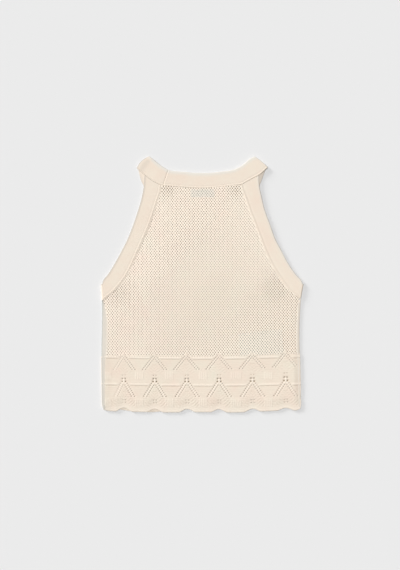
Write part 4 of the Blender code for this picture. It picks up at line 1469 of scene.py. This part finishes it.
@dataclass
class Net:
    """Net body of one panel: upright wales of yarn that swing to and fro and meet their neighbours."""
    outline: Outline
    border: Border
    layer: Layer
    half_width: float = 195.0
    top: float = 192.0
    wale: float = 2.515
    wale_scatter: float = 0.04
    row_rise: float = 3.2
    level_reach: float = 120.0
    swing: float = 0.85
    segments: int = 6
    shortest: int = 3
    phase: float = 0.0
    slant: float = 1.15
    slant_reach: float = 125.0
    low_part: tuple = (30.0, -50.0)
    low_upright: tuple = (0.2, 0.6)
    open_upright: float = 0.5
    open_start: float = 0.7
    yarn_width: float = 2.35
    yarn_height: float = 1.2
    top_share: float = 0.78
    crest_swell: float = 0.1
    open_swing: float = 0.1
    open_thinning: float = 0.15
    thinnest: float = 1.2
    uneven_step: int = 7
    uneven_swing: float = 0.06
    uneven_width: float = 0.03
    under_gap: float = 0.04
    lap: float = 0.15
    under_edge: float = 1.2
    # Painted shading of the shown yarn: painted highlights on its tops, weaker at the left and where the
    # net is drawn together; painted shade on its flanks, deeper where the net is open and at the left;
    # painted light on the flanks beside the left armband, against its shadow
    crest_painted_highlight: float = -1.0
    waist_painted_highlight: float = -0.1
    left_crest_loss: float = 0.7
    drawn_crest_loss: float = 1.15
    flank_painted_shade: float = 0.6
    open_flank: float = 0.35
    most_open_flank: float = 1.3
    left_flank: float = 0.45
    left_part: tuple = (-20.0, -110.0)
    lee_painted_light: float = 0.7
    lee_margin: tuple = (2.5, 0.5)
    lee_rise: float = 5.0
    # Painted shade over the hidden net
    hidden_painted_shade: float = 1.0
    hidden_flank_painted_shade: float = 0.4

    def count(self) -> int:
        """Number of wales on each side of the middle."""
        return int(self.half_width / self.wale)

    def openness(self, across: Array, up: Array) -> Array:
        """How far the net is pulled open, over nothing, or drawn together, under it.

        Args:
            across: Places across.
            up: Places up.

        Returns:
            One value for each place.
        """
        opened = np.sin(across / LONG_WAVE.across + LONG_WAVE_START.across)
        opened = opened * np.cos(up / LONG_WAVE.up + LONG_WAVE_START.up)
        opened = opened + SHORT_WAVE_SHARE * np.sin(across / SHORT_WAVE.across - up / SHORT_WAVE.up)
        opened = DRIFT * opened
        for corner in OPEN_CORNERS:
            far = (across - corner.place.across) ** 2 + (up - corner.place.up) ** 2
            opened = opened + corner.strength * np.exp(-far / corner.reach ** 2)
        for part in DRAWN_PARTS:
            opened = opened - part.amount * fade(across, *part.across) * fade(up, *part.up)
        return np.clip(opened, MOST_DRAWN, MOST_OPEN)

    def inside(self, across: Array, up: Array) -> Array:
        """Which places belong to the net, up to where it ends under the pieces round it.

        Args:
            across: Places across.
            up: Places up.

        Returns:
            Yes or no for each place.
        """
        clear = self.under_edge
        found = (up < self.outline.neck_up(across) + clear) & (up > self.border.top_up(across) - clear)
        for side in Side:
            strip = np.where(up > SIDE_STRIP[side][0].up, 0.0, self.outline.strip_width(side, up))
            found &= side.value * (self.outline.side_across(side, up) - across) > strip - clear
        return found

    def build(self, cloth: Cloth, first: int, last: int, draw: np.random.Generator) -> None:
        """Adds some wales of the net to a piece.

        Args:
            cloth: The piece.
            first: First wale, counted from the middle.
            last: The wale after the last one.
            draw: Random draws for the unevenness of the yarn.
        """
        base = float(self.border.top_up(np.array(0.0), peaks=False))
        most = int((self.top - base) / self.row_rise / 2.0 * self.segments)
        rows = np.arange(-self.segments, most + 1) * 2.0 / self.segments
        for wale in range(first, last):
            middle = (wale + 0.5) * self.wale + draw.normal(0.0, self.wale_scatter)
            rise = float(self.border.top_up(np.array(middle), peaks=False)) - base
            up = base + rows * self.row_rise + rise * fade(rows * self.row_rise, self.level_reach, 0.0)
            across = np.full(len(rows), middle)
            low = fade(up, *self.low_part) * self.low_upright[1 if middle > 0.0 else 0]
            opened = np.clip(self.openness(across, up) - self.open_start, 0.0, 1.0)
            slant = self.slant * float(np.clip(middle / self.slant_reach, -1.0, 1.0))
            slant = slant * (1.0 - low) * (1.0 - self.open_upright * opened)
            turn = math.pi * (rows + wale + self.phase)
            wave = np.cos(turn - slant * np.cos(turn))
            inside = self.inside(across, up)
            starts = np.flatnonzero(np.diff(np.concatenate([[0], inside, [0]])))
            for start, end in zip(starts[::2], starts[1::2]):
                if end - start > self.shortest:
                    self.add_yarn(cloth, across[start:end], up[start:end], wave[start:end], draw)

    def tones(self, middle: Array, up: Array, wave: Array,
              opened: Array) -> tuple[Array, Array]:
        """Painted shading of the shown yarn: painted highlights on its tops, and painted shade on its
        flanks, deeper where the net is open.

        Args:
            middle: How far across the middle of its swing lies.
            up: How far up its places lie.
            wave: Its swing.
            opened: How far the net is open there.

        Returns:
            Painted highlight of its top and painted shade of its flanks.
        """
        drawn = np.clip(opened, -1.0, 0.0)
        left = fade(middle, *self.left_part)
        painted_highlight = self.waist_painted_highlight + (self.crest_painted_highlight - self.waist_painted_highlight) * wave * wave
        painted_highlight = painted_highlight * (1.0 - self.left_crest_loss * left) * (1.0 + self.drawn_crest_loss * drawn)
        corner = SIDE_EDGE[Side.LEFT][0].up
        lee = fade(middle - self.outline.side_across(Side.LEFT, up), *self.lee_margin)
        lee = lee * fade(up, corner, corner + self.lee_rise)
        flank = self.flank_painted_shade + self.open_flank * np.clip(opened, -1.0, self.most_open_flank)
        return painted_highlight, flank + self.left_flank * left * (1.0 + drawn) - self.lee_painted_light * lee

    def add_yarn(self, cloth: Cloth, middle: Array, up: Array, wave: Array,
                 draw: np.random.Generator) -> None:
        """Adds one stretch of a wale.

        Args:
            cloth: The piece.
            middle: How far across the middle of its swing lies.
            up: How far up its places lie.
            wave: Its swing, from right to left.
            draw: Random draws.
        """
        opened = self.openness(middle, up)
        knots = np.arange(0, len(up) + self.uneven_step, self.uneven_step)
        uneven = np.interp(np.arange(len(up)), knots, draw.normal(0.0, 1.0, len(knots)))
        swing = self.swing * (1.0 + self.open_swing * opened + self.uneven_swing * uneven)
        width = self.yarn_width * (1.0 + self.crest_swell * (2.0 * wave * wave - 1.0))
        width = width * (1.0 + self.uneven_width * uneven)
        width = width * (1.0 - self.open_thinning * np.clip(opened, MOST_DRAWN, self.thinnest))
        level = self.outline.rest(middle, up, self.layer) + PANEL_WALL / 2
        if self.layer is Layer.SHOWN:
            height, level = self.yarn_height, level + self.lap * wave
            corners = [(-self.top_share, 1.0), (self.top_share, 1.0), (1.0, -1.0), (-1.0, -1.0)]
            # Painted highlights on the ring's upper corners, painted shade on its lower ones
            painted_highlight, flank = self.tones(middle, up, wave, opened)
            tones = [painted_highlight, painted_highlight, flank, flank]
        else:
            height = PANEL_WALL - self.under_gap
            corners = [(0.0, 1.0), (1.0, -1.0), (-1.0, -1.0)]
            # The hidden net gets painted shade
            tones = [np.full(len(up), tone)
                     for tone in (self.hidden_painted_shade, self.hidden_flank_painted_shade, self.hidden_flank_painted_shade)]
        centres = np.stack([middle + wave * swing, up, level], axis=1)
        rings = yarn(centres, width, np.full(len(up), height), corners)
        cloth.add_tube(rings, yarn_pattern(centres, len(corners)), lap=1.0, tone=np.stack(tones, axis=1))


# Corners of a round yarn's ring, as shares of half its width and half its height
ROUND_SIDES = 5
ROUND_TURNS = [2.0 * math.pi * side / ROUND_SIDES for side in range(ROUND_SIDES)]
ROUND_YARN = [(math.sin(turn), math.cos(turn)) for turn in ROUND_TURNS]

# Across a band's shown face: distance from the free edge or from the linked edge, and how far out
FREE_EDGE = [(0.0, -1.1), (0.12, -0.6), (0.42, -0.22), (1.1, 0.0), (2.4, 0.0)]
ARM_LINKED_EDGE = [
    (6.8, 0.0), (6.1, -0.1), (5.5, -0.14), (4.9, -0.06), (4.3, 0.06), (3.4, 0.14), (2.4, 0.12),
    (1.6, 0.08), (1.0, 0.04), (0.45, -0.02), (0.12, -0.16), (0.0, -0.5),
]
NECK_LINKED_EDGE = [
    (4.6, 0.0), (4.0, -0.12), (3.4, -0.18), (2.9, -0.06), (2.4, 0.14), (1.7, 0.24), (1.0, 0.14),
    (0.5, -0.06), (0.12, -0.4), (0.0, -0.9),
]
INNER_EDGE = [(0.0, 0.35), (0.5, 0.0)]

# Across a side seam from its edge: share of its width, and share of its height
STEEP_EDGE = [(0.0, 0.25), (0.02, 0.55), (0.06, 0.75), (0.12, 0.9), (0.2, 0.97)]
GENTLE_EDGE = [(0.0, 0.5), (0.03, 0.62), (0.16, 0.74), (0.34, 0.88), (0.55, 0.97)]

# The same on the side seam's underside, from its inner side back to its edge
SEAM_UNDERSIDE = [(1.0, 0.0), (0.5, 0.0), (0.1, 0.0), (0.03, 0.03), (0.01, 0.1)]


def band_width(spot: Callable, along: Array) -> Array:
    """Width of a band at some distances along it."""
    edges = spot(along[:, None], np.array([[0.0, 1.0]]))
    return np.linalg.norm(edges[:, 1] - edges[:, 0], axis=1)


@dataclass(frozen=True)
class LinkingStitches:
    """Row of stitches beside a band's linked edge: two plies that wind round each other.

    The inset is measured into the band, so that one under nothing lies on the net beside it.
    """
    inset: float
    height: float
    short: float = 0.0
    start: float = 0.6
    end: float = 0.3
    spacing: float = 0.8
    lay: float = 5.0
    ply_offset: float = 0.42
    ply_rise: float = 0.12
    thickness: float = 0.65
    flatness: float = 0.8

    def build(self, cloth: Cloth, spot: Callable, length: float) -> None:
        """Adds the stitches to a piece.

        Args:
            cloth: The piece.
            spot: Gives places on the band from distances along it and shares across it.
            length: Length of the band.
        """
        length = length - self.short
        along = np.linspace(self.start, length - self.end, int(length / self.spacing))
        line = spot(along, 1.0 - self.inset / band_width(spot, along))
        ahead = np.gradient(line, axis=0)
        ahead /= np.linalg.norm(ahead, axis=1, keepdims=True)
        aside = np.stack([-ahead[:, 1], ahead[:, 0]], axis=1)
        thick = np.full(len(along), self.thickness)
        for ply in (0.0, math.pi):
            turn = 2.0 * math.pi * along / self.lay + ply
            flat = line + aside * (self.ply_offset * np.cos(turn))[:, None]
            centres = np.column_stack([flat, self.height + self.ply_rise * np.sin(turn)])
            rings = yarn(centres, thick, thick * self.flatness, ROUND_YARN)
            cloth.add_tube(rings, yarn_pattern(centres, len(ROUND_YARN)), lap=1.0)


@dataclass
class Band:
    """Double-knit band laid flat and folded at its ends, linked along one edge."""
    name: str
    outline: Outline
    stitches: list
    linked_edge: list = field(default_factory=lambda: ARM_LINKED_EDGE)
    ring_step: float = 2.0
    middle_points: int = 9
    fold_steps: int = 12
    cut_points: int = 60
    wale: float = 1.5
    course: float = 1.15
    rim_depth: float = 0.5
    # Painted shading at the free edge, weaker on the hidden half, and painted shade on the free edge's wall
    painted_shading: float = 0.2
    edge_reach: float = 4.0
    hidden_shading_share: float = 0.4
    wall_painted_shade: float = 0.8
    wall_reach: float = 0.5

    def shown_half(self) -> BandPath:
        """Course of the band's shown half as it is cut."""
        raise NotImplementedError

    def shown_spot(self) -> Callable:
        """Gives places on the shown half as it lies."""
        return self.shown_half().at

    def build(self, cloth: Cloth) -> None:
        """Adds the band to a piece."""
        raise NotImplementedError

    def cut(self) -> tuple[float, float]:
        """Measures the band as it is knitted.

        Returns:
            Its width and its whole length in metres.
        """
        path = self.shown_half()
        width = float(band_width(path.at, np.linspace(0.0, path.length, self.cut_points)).mean())
        return width * MM, 2.0 * path.length * MM

    def ring_shares(self, width: Array) -> tuple[Array, Array, Array, Array]:
        """Shares of the way across and heights, for the outer face and the inner face.

        Args:
            width: Width of the band at each ring.

        Returns:
            Outer shares by ring and point, outer heights, inner shares and inner heights.
        """
        free = np.array(FREE_EDGE)
        linked = np.array(self.linked_edge)
        wide = width[:, None]
        between = np.linspace(0.0, 1.0, self.middle_points + 2)[1:-1]
        middle = free[-1, 0] + (wide - free[-1, 0] - linked[0, 0]) * between
        outer = np.concatenate([free[:, 0] + wide * 0.0, middle, wide - linked[:, 0]], axis=1) / wide
        heights = np.concatenate([free[:, 1], np.zeros(self.middle_points), linked[:, 1]])
        near = np.array(INNER_EDGE)
        inner = np.concatenate(
            [wide - near[:, 0], wide * 0.5, near[::-1, 0] + wide * 0.0], axis=1) / wide
        inner_heights = np.concatenate([near[:, 1], [0.0], near[::-1, 1]])
        return outer, heights, inner, inner_heights

    def rings(self, spot: Callable, along: Array, turn: Array, outward: Array,
              rise: Array) -> tuple[Array, Array, Array]:
        """Rings round the wall of the band.

        Args:
            spot: Gives places on the band from distances along it and shares across it.
            along: Distance of each ring along the band.
            turn: Nothing on the shown half, half a turn on the hidden half.
            outward: Way out of the fold, for each ring.
            rise: What is added to the shown face at each ring.

        Returns:
            Corners, their pattern places and their painted shading, by ring and place in the ring.
        """
        width = band_width(spot, along)
        outer, heights, inner, inner_heights = self.ring_shares(width)
        shown = np.maximum(np.cos(turn), 0.0)[:, None]
        edge = np.minimum(heights, 0.0) * (np.abs(heights) > self.rim_depth)
        outer_radius = FOLD_OUTSIDE + edge + (heights - edge + rise[:, None]) * shown
        inner_radius = np.broadcast_to(FOLD_INSIDE + inner_heights, inner.shape)
        shares = np.concatenate([outer, inner], axis=1)
        radius = np.concatenate([outer_radius, inner_radius], axis=1)
        flat = spot(along[:, None], shares)
        flat = flat + outward[:, None] * (radius * np.sin(turn)[:, None])[..., None]
        height = BAND_MIDDLE + radius * np.cos(turn)[:, None]
        corners = np.concatenate([flat, height[..., None]], axis=-1)
        from_free = shares * width[:, None]
        lengths = np.broadcast_to((along / self.wale)[:, None], shares.shape)
        pattern = np.stack([lengths, from_free / self.course], axis=-1)
        # Painted shading at the free edge, and painted shade on its wall
        tone = self.painted_shading * np.clip(1.0 - from_free / self.edge_reach, 0.0, 1.0)
        tone = tone * (self.hidden_shading_share + (1.0 - self.hidden_shading_share) * shown)
        tone = tone + self.wall_painted_shade * np.clip(1.0 - from_free / self.wall_reach, 0.0, 1.0)
        return corners, pattern, tone

    def make(self) -> None:
        """Builds the band with its linking stitches, and dresses them."""
        cloth = Cloth(self.name + "_knit")
        self.build(cloth)
        linking = Cloth(self.name + "_linking")
        for row in self.stitches:
            row.build(linking, self.shown_spot(), self.shown_half().length)
        piece = cloth.make(self.outline.shift, BAND_KNIT)
        linked = linking.make(self.outline.shift, LINKING_YARN)
        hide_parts(self.name)
        self.cut()


@dataclass
class Neckband(Band):
    """Ring of double knit round the neck, folded at its two tips and joined at the left."""

    def shown_half(self) -> BandPath:
        """Course of its shown half."""
        return self.outline.neckband

    def build(self, cloth: Cloth) -> None:
        """Adds the band to a piece.

        Args:
            cloth: The piece.
        """
        path = self.outline.neckband
        join = path.knots[NECK_JOIN_ROW]
        offsets, rises = np.array(JOIN_PROFILE).T
        even = np.linspace(0.0, path.length, int(path.length / self.ring_step) + 1)
        before = even < join + offsets[0] - JOIN_CLEAR
        after = even > join + offsets[-1] + JOIN_CLEAR
        shown = np.sort(np.concatenate([even[before | after], join + offsets]))
        turns = math.pi * np.arange(1, self.fold_steps) / self.fold_steps
        along = np.concatenate([shown, np.full(len(turns), path.length), even[::-1], np.zeros(len(turns))])
        turn = np.concatenate([shown * 0.0, turns, even * 0.0 + math.pi, turns[::-1]])
        left_half = along < path.length / 2
        outward = np.where(left_half[:, None], self.outline.tips[Side.LEFT], self.outline.tips[Side.RIGHT])
        rise = np.interp(along - join, offsets, rises, 0.0, 0.0)
        corners, pattern, tone = self.rings(path.at, along, turn, outward, rise)
        # Painted shade on the left fold and in the dip beside it, painted highlight on the right fold
        fold = np.where(left_half, LEFT_FOLD_PAINTED_SHADE, RIGHT_FOLD_PAINTED_HIGHLIGHT) * np.minimum(2.0 * np.sin(turn), 1.0)
        dip = LEFT_DIP_PAINTED_SHADE * hill((along - LEFT_DIP_PLACE) / LEFT_DIP_REACH) * (turn == 0.0)
        tone = tone * np.abs(np.cos(turn))[:, None] + (fold + dip)[:, None]
        cloth.add_tube(corners, pattern, closed=True, tone=tone)


@dataclass
class Armband(Band):
    """Double-knit strip round one armhole, folded at the underarm and linked under the neckband."""
    side: Side = Side.LEFT

    def shown_half(self) -> BandPath:
        """Course of its shown half."""
        return BandPath(ARM_ROWS[self.side])

    def halves(self) -> tuple[BandPath, BandPath, Array]:
        """Lays out both halves.

        Returns:
            Course of the shown half, course of the hidden half, and the way out of the fold.
        """
        rows = ARM_ROWS[self.side]
        shown = BandPath(rows)
        under = list(rows)
        for index, place in enumerate(UNDER_EDGE[self.side]):
            under[index] = rows[index]._replace(free_across=place.across, free_up=place.up)
        hidden = BandPath(under)
        hidden.knots = shown.knots
        outward = shown.draw_in(-1, -2)
        hidden.draw_in(-1, -2)
        return shown, hidden, outward

    def shown_spot(self) -> Callable:
        """Gives places on its shown half."""
        return self.spot(self.halves()[0])

    def spot(self, path: BandPath) -> Callable:
        """Bends the end of one half so that it follows the neckband's linked edge.

        Args:
            path: Course of the half.

        Returns:
            What gives places on it, from distances along it and shares across it.
        """
        def place(along: Array, share: Array) -> Array:
            """Places on the half.

            Args:
                along: Distances along it.
                share: Shares of the way to its linked edge.

            Returns:
                Places across and up, one row for each.
            """
            along, share = np.broadcast_arrays(along, share)
            near = np.maximum(1.0 - along / path.knots[2], 0.0)
            end = path.at(np.zeros(along.shape), share)
            places = path.at(along, share)
            places[..., 1] += (self.outline.neck_up(end[..., 0]) - ARM_END_GAP - end[..., 1]) * near
            return places
        return place

    def build(self, cloth: Cloth) -> None:
        """Adds the band to a piece.

        Args:
            cloth: The piece.
        """
        shown, hidden, outward = self.halves()
        even = np.linspace(0.0, shown.length, int(shown.length / self.ring_step) + 1)
        turns = math.pi * np.arange(1, self.fold_steps) / self.fold_steps
        front = np.concatenate([even, np.full(len(turns), shown.length)])
        front_turn = np.concatenate([even * 0.0, turns])
        both = []
        for path, along, turn in ((shown, front, front_turn), (hidden, even[::-1], even * 0.0 + math.pi)):
            ways = np.broadcast_to(outward, (len(along), 2))
            both.append(self.rings(self.spot(path), along, turn, ways, along * 0.0))
        corners, pattern, tone = (np.concatenate(parts) for parts in zip(*both))
        cloth.add_tube(corners, pattern, tone=tone)


@dataclass
class SideSeam:
    """Linked edge that joins the two panels down one side, with the plain strip beside it."""
    outline: Outline
    side: Side
    ring_step: float = 2.5
    upper_gap: float = 0.5
    lower_gap: float = 1.2
    upper_taper: float = 9.0
    upper_share: float = 0.4
    lower_taper: float = 4.0
    lower_share: float = 0.5
    stand: float = 0.8
    tuck: float = 1.1
    tuck_start: float = 0.45
    flat_start: float = 0.1
    flat_points: int = 6
    wale: float = 1.5
    course: float = 1.6
    # Painted shading along the edge, and painted shade on the plain strip
    painted_shading: float = 0.0
    edge_reach: float = 3.0
    strip_painted_shade: float = 0.0
    plain_part: tuple = (1.0, 0.4)
    profile: list = field(default_factory=lambda: STEEP_EDGE)

    def section(self, width: Array) -> tuple[Array, Array, Array]:
        """Section across the strip at each ring.

        Args:
            width: Width of the strip at each ring.

        Returns:
            Distances from the side edge, shares of the height there, and painted shading.
        """
        over = np.array(self.profile)
        under = np.array(SEAM_UNDERSIDE)
        between = np.linspace(over[-1, 0] + self.flat_start, 1.0, self.flat_points)
        places = np.concatenate([over[:, 0], between, under[:, 0]])
        distances = width[:, None] * places
        shares = np.concatenate([over[:, 1], np.ones(len(between)), under[:, 1]])
        # Painted shading along the edge and painted shade on the plain strip
        tones = self.painted_shading * fade(distances, self.edge_reach, 0.0)
        tones = tones + self.strip_painted_shade * fade(places, *self.plain_part)
        return distances, shares, tones

    def make(self) -> bpy.types.Object:
        """Builds and dresses the seam.

        Returns:
            The seam.
        """
        high = SIDE_EDGE[self.side][0].up - self.upper_gap
        low = SIDE_EDGE[self.side][-1].up + self.lower_gap
        ups = np.linspace(high, low, int((high - low) / self.ring_step))
        upper = self.upper_share + (1.0 - self.upper_share) * fade(ups, high, high - self.upper_taper)
        lower = self.lower_share + (1.0 - self.lower_share) * fade(ups, low, low + self.lower_taper)
        width = self.outline.strip_width(self.side, ups) * upper * lower
        distances, shares, tones = self.section(width)
        edge = self.outline.side_across(self.side, ups)
        across = edge[:, None] - self.side.value * distances
        tall = np.broadcast_to(ups[:, None], across.shape)
        top = self.outline.rest(across, tall, Layer.SHOWN) + PANEL_WALL + self.stand
        inner = fade(distances / width[:, None], self.tuck_start, 1.0)
        rings = np.stack([across, tall, (top - self.tuck * inner) * shares], axis=-1)
        pattern = np.stack([distances / self.wale, tall / self.course], axis=-1)
        cloth = Cloth("side_seam_" + self.side.name.lower())
        cloth.add_tube(rings, pattern, tone=tones)
        piece = cloth.make(self.outline.shift, SEAM_KNIT)
        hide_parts("front_panel")
        return piece


@dataclass
class Panel:
    """One panel of the body: its border, and the net that is knitted on above it."""
    outline: Outline
    border: Border
    net: Net
    net_names: tuple
    seams: list = field(default_factory=list)

    def make(self, draw: np.random.Generator) -> None:
        """Builds and dresses the border and the parts of the net.

        Args:
            draw: Random draws for the unevenness of the yarn.
        """
        layer = self.border.layer
        # Only the shown panel gets painted cool shade
        cool_shade = self.outline.painted_cool_shade if layer is Layer.SHOWN else None
        hem = partial(self.outline.hem_up, layer=layer)
        top = partial(self.border.top_up, peaks=False)
        cloth = Cloth(layer.value + "_border")
        self.border.build(cloth)
        piece = cloth.make(self.outline.shift, BORDER_KNIT, cool_shade)
        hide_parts(layer.value + "_panel")
        self.outline.area(hem, top)
        parts = len(self.net_names)
        area = self.outline.area(top, self.outline.neck_up) / parts
        wales = np.linspace(-self.net.count(), self.net.count(), parts + 1).astype(int)
        for name, first, last in zip(self.net_names, wales, wales[1:]):
            cloth = Cloth(name)
            self.net.build(cloth, first, last, draw)
            piece = cloth.make(self.outline.shift, NET_YARN, cool_shade)
            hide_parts(layer.value + "_panel")


@dataclass(frozen=True)
class Label:
    """Woven label: a thin rippled tape in its solid's place, whose short ends rise if they are folded."""
    name: str
    finish: WovenTape
    turn: float = 0.0
    folded: bool = False
    cuts: int = 15
    wall_share: float = 0.45
    fold_start: float = 0.86
    fold_lift: float = 0.5
    ripple_share: float = 0.12
    ripple_lengths: tuple = (9.0, 5.0)
    edge_share: float = 0.3
    edge_segments: int = 2

    def sizes(self, size: Vector) -> tuple[float, float]:
        """Measures the turned label.

        Args:
            size: Size of the box round it.

        Returns:
            Its width and its length.
        """
        cosine, sine = abs(math.cos(self.turn)), abs(math.sin(self.turn))
        width = (size.x * cosine - size.y * sine) / (cosine ** 2 - sine ** 2)
        length = (size.y * cosine - size.x * sine) / (cosine ** 2 - sine ** 2)
        return width, length

    def shape(self, tape: bpy.types.Mesh, middle: Vector, size: Vector) -> None:
        """Gives the flat tape its ripple and folds, and lays it in its place.

        Args:
            tape: The tape's mesh.
            middle: Middle of the label's solid.
            size: Size of the box round it.
        """
        width, length = self.sizes(size)
        turned = Matrix.Rotation(self.turn, 3, "Z")
        for corner in tape.vertices:
            end = 0.0
            if self.folded:
                end = max(abs(corner.co.x) / (width / 2) - self.fold_start, 0.0) / (1.0 - self.fold_start)
            wave = math.sin(corner.co.x / width * self.ripple_lengths[0])
            wave = wave * math.cos(corner.co.y / length * self.ripple_lengths[1])
            lift = self.ripple_share * size.z * wave + size.z * self.wall_share * self.fold_lift * end
            corner.co = middle + turned @ Vector((corner.co.x, corner.co.y, lift))

    def make(self) -> None:
        """Builds and dresses the label."""
        low, high = (Vector(corner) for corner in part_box(self.name))
        size = high - low
        width, length = self.sizes(size)
        bpy.ops.mesh.primitive_plane_add(size=1.0)
        label = bpy.context.object
        label.name = self.name + "_tape"
        label.data.name = label.name
        bpy.ops.object.mode_set(mode="EDIT")
        bpy.ops.mesh.select_all(action="SELECT")
        bpy.ops.transform.resize(value=(width, length, 1.0))
        bpy.ops.mesh.subdivide(number_cuts=self.cuts)
        bpy.ops.object.mode_set(mode="OBJECT")
        self.shape(label.data, (low + high) / 2, size)
        solidify = label.modifiers.new("wall", "SOLIDIFY")
        solidify.thickness = size.z * self.wall_share
        solidify.offset = 0.0
        bevel = label.modifiers.new("edge", "BEVEL")
        bevel.width = solidify.thickness * self.edge_share
        bevel.segments = self.edge_segments
        for modifier in ("wall", "edge"):
            bpy.ops.object.modifier_apply(modifier=modifier)
        bpy.ops.object.shade_smooth_by_angle(angle=SHARP_ANGLE)
        label.data.materials.append(self.finish.material())
        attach(label, BODY)
        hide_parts(self.name)
        LOG.info("%s: %d faces", label.name, len(label.data.polygons))


@dataclass(frozen=True)
class Lamp:
    """Wide soft light a long way off."""
    name: str
    strength: float
    elevation: float
    azimuth: float
    spread: float

    def build(self) -> None:
        """Adds the light to the scene."""
        lamp = bpy.data.lights.new(self.name, "SUN")
        lamp.energy = self.strength
        lamp.angle = math.radians(self.spread)
        rise, turn = math.radians(self.elevation), math.radians(self.azimuth)
        towards = Vector((
            math.cos(rise) * math.cos(turn), math.cos(rise) * math.sin(turn), math.sin(rise)))
        source = bpy.data.objects.new(self.name, lamp)
        source.rotation_euler = towards.to_track_quat("Z", "Y").to_euler()
        bpy.context.scene.collection.objects.link(source)


@dataclass
class Studio:
    """Pale floor, soft light from the upper left and the camera straight above."""
    shift: Array
    lens: float = 85.0
    sensor: float = 36.0
    floor_size: float = 40.0
    floor_drop: float = 0.0002
    floor_colour: str = "#E3E3E3"
    sky_strength: float = 0.14
    lamps: tuple = (Lamp("high_key", 2.36, 79.0, 142.0, 26.0), Lamp("low_fill", 2.2, 17.0, 143.0, 17.0))

    def add_floor(self) -> None:
        """Adds the floor, a hair under the garment."""
        bpy.ops.mesh.primitive_plane_add(size=self.floor_size, location=(0.0, 0.0, -self.floor_drop))
        floor = bpy.context.object
        floor.name = "studio_floor"
        paper = bpy.data.materials.new("matt_background_paper")
        paper.use_nodes = True
        shader = paper.node_tree.nodes["Principled BSDF"]
        shader.inputs["Base Color"].default_value = linear(self.floor_colour)
        shader.inputs["Roughness"].default_value = 1.0
        shader.inputs["Specular IOR Level"].default_value = 0.0
        floor.data.materials.append(paper)

    def add_light(self) -> None:
        """Adds the lamps and the even light from the room."""
        world = bpy.data.worlds.new("studio")
        world.use_nodes = True
        sky = world.node_tree.nodes["Background"]
        sky.inputs["Color"].default_value = (1.0, 1.0, 1.0, 1.0)
        sky.inputs["Strength"].default_value = self.sky_strength
        bpy.context.scene.world = world
        for lamp in self.lamps:
            lamp.build()

    def add_camera(self) -> None:
        """Adds the camera over the middle of the photograph."""
        lens = bpy.data.cameras.new("photo_camera")
        lens.lens = self.lens
        lens.sensor_width = self.sensor
        camera = bpy.data.objects.new("photo_camera", lens)
        across = (PHOTO_SIZE[0] / 2 - PHOTO_MIDDLE[0]) * PIXEL + self.shift[0]
        up = (PHOTO_MIDDLE[1] - PHOTO_SIZE[1] / 2) * PIXEL + self.shift[1]
        camera.location = (across * MM, up * MM, PHOTO_SIZE[1] * PIXEL * MM * self.lens / self.sensor)
        bpy.context.scene.collection.objects.link(camera)
        bpy.context.scene.camera = camera

    def build(self) -> None:
        """Sets up the floor, the light and the camera."""
        self.add_floor()
        self.add_light()
        self.add_camera()
        bpy.context.scene.view_settings.view_transform = "Standard"


def main() -> None:
    """Builds the garment's pieces in order, then the studio."""
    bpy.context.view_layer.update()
    middle = [(low + high) / 2 / MM for low, high in zip(*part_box("care_label"))]
    shift = np.array([middle[0] - CARE_LABEL_MIDDLE.across, middle[1] - CARE_LABEL_MIDDLE.up, 0.0])
    outline = Outline(shift)
    draw = np.random.default_rng(SEED)

    # The left seam gets painted shade along its edge and on its strip, the right one painted light along
    # its edge
    seams = [seam.make() for seam in (
        SideSeam(outline, Side.LEFT, stand=0.55, tuck=0.65, painted_shading=0.75, edge_reach=3.5,
                 strip_painted_shade=0.38),
        SideSeam(outline, Side.RIGHT, stand=0.4, tuck=0.7, painted_shading=-0.8, edge_reach=4.0,
                 profile=GENTLE_EDGE))]

    front_border = Border(outline, Layer.SHOWN)
    front_net = Net(outline, front_border, Layer.SHOWN)
    Panel(outline, front_border, front_net, ("front_net_left", "front_net_right"), seams).make(draw)
    back_border = Border(outline, Layer.HIDDEN, row_step=0.5)
    back_net = Net(outline, back_border, Layer.HIDDEN, segments=4, phase=1.0)
    Panel(outline, back_border, back_net, ("back_net",)).make(draw)

    # Painted highlight along the neckband's free edge and painted shade on its wall; painted shade along
    # the left armband's free edge and a painted highlight along the right one's
    Neckband(
        "neckband", outline, [LinkingStitches(1.7, BAND_FACE + 0.08)], linked_edge=NECK_LINKED_EDGE,
        painted_shading=-0.85, edge_reach=8.0, wall_painted_shade=2.2).make()
    linking = LinkingStitches(2.9, BAND_FACE + 0.12)
    Armband(
        "armband_left", outline, [linking, LinkingStitches(-0.6, BAND_FACE - 0.3, short=22.0)],
        painted_shading=0.75, side=Side.LEFT).make()
    Armband(
        "armband_right", outline, [linking, LinkingStitches(-0.6, BAND_FACE - 1.0, short=22.0)],
        painted_shading=-0.5, edge_reach=5.0, side=Side.RIGHT).make()

    Label("neck_label", LABEL_TAPE, folded=True).make()
    Label("care_label", CARE_TAPE, turn=CARE_LABEL_TURN).make()
    Studio(shift).build()


if __name__ == "__main__":
    logging.basicConfig(level=logging.INFO)
    main()
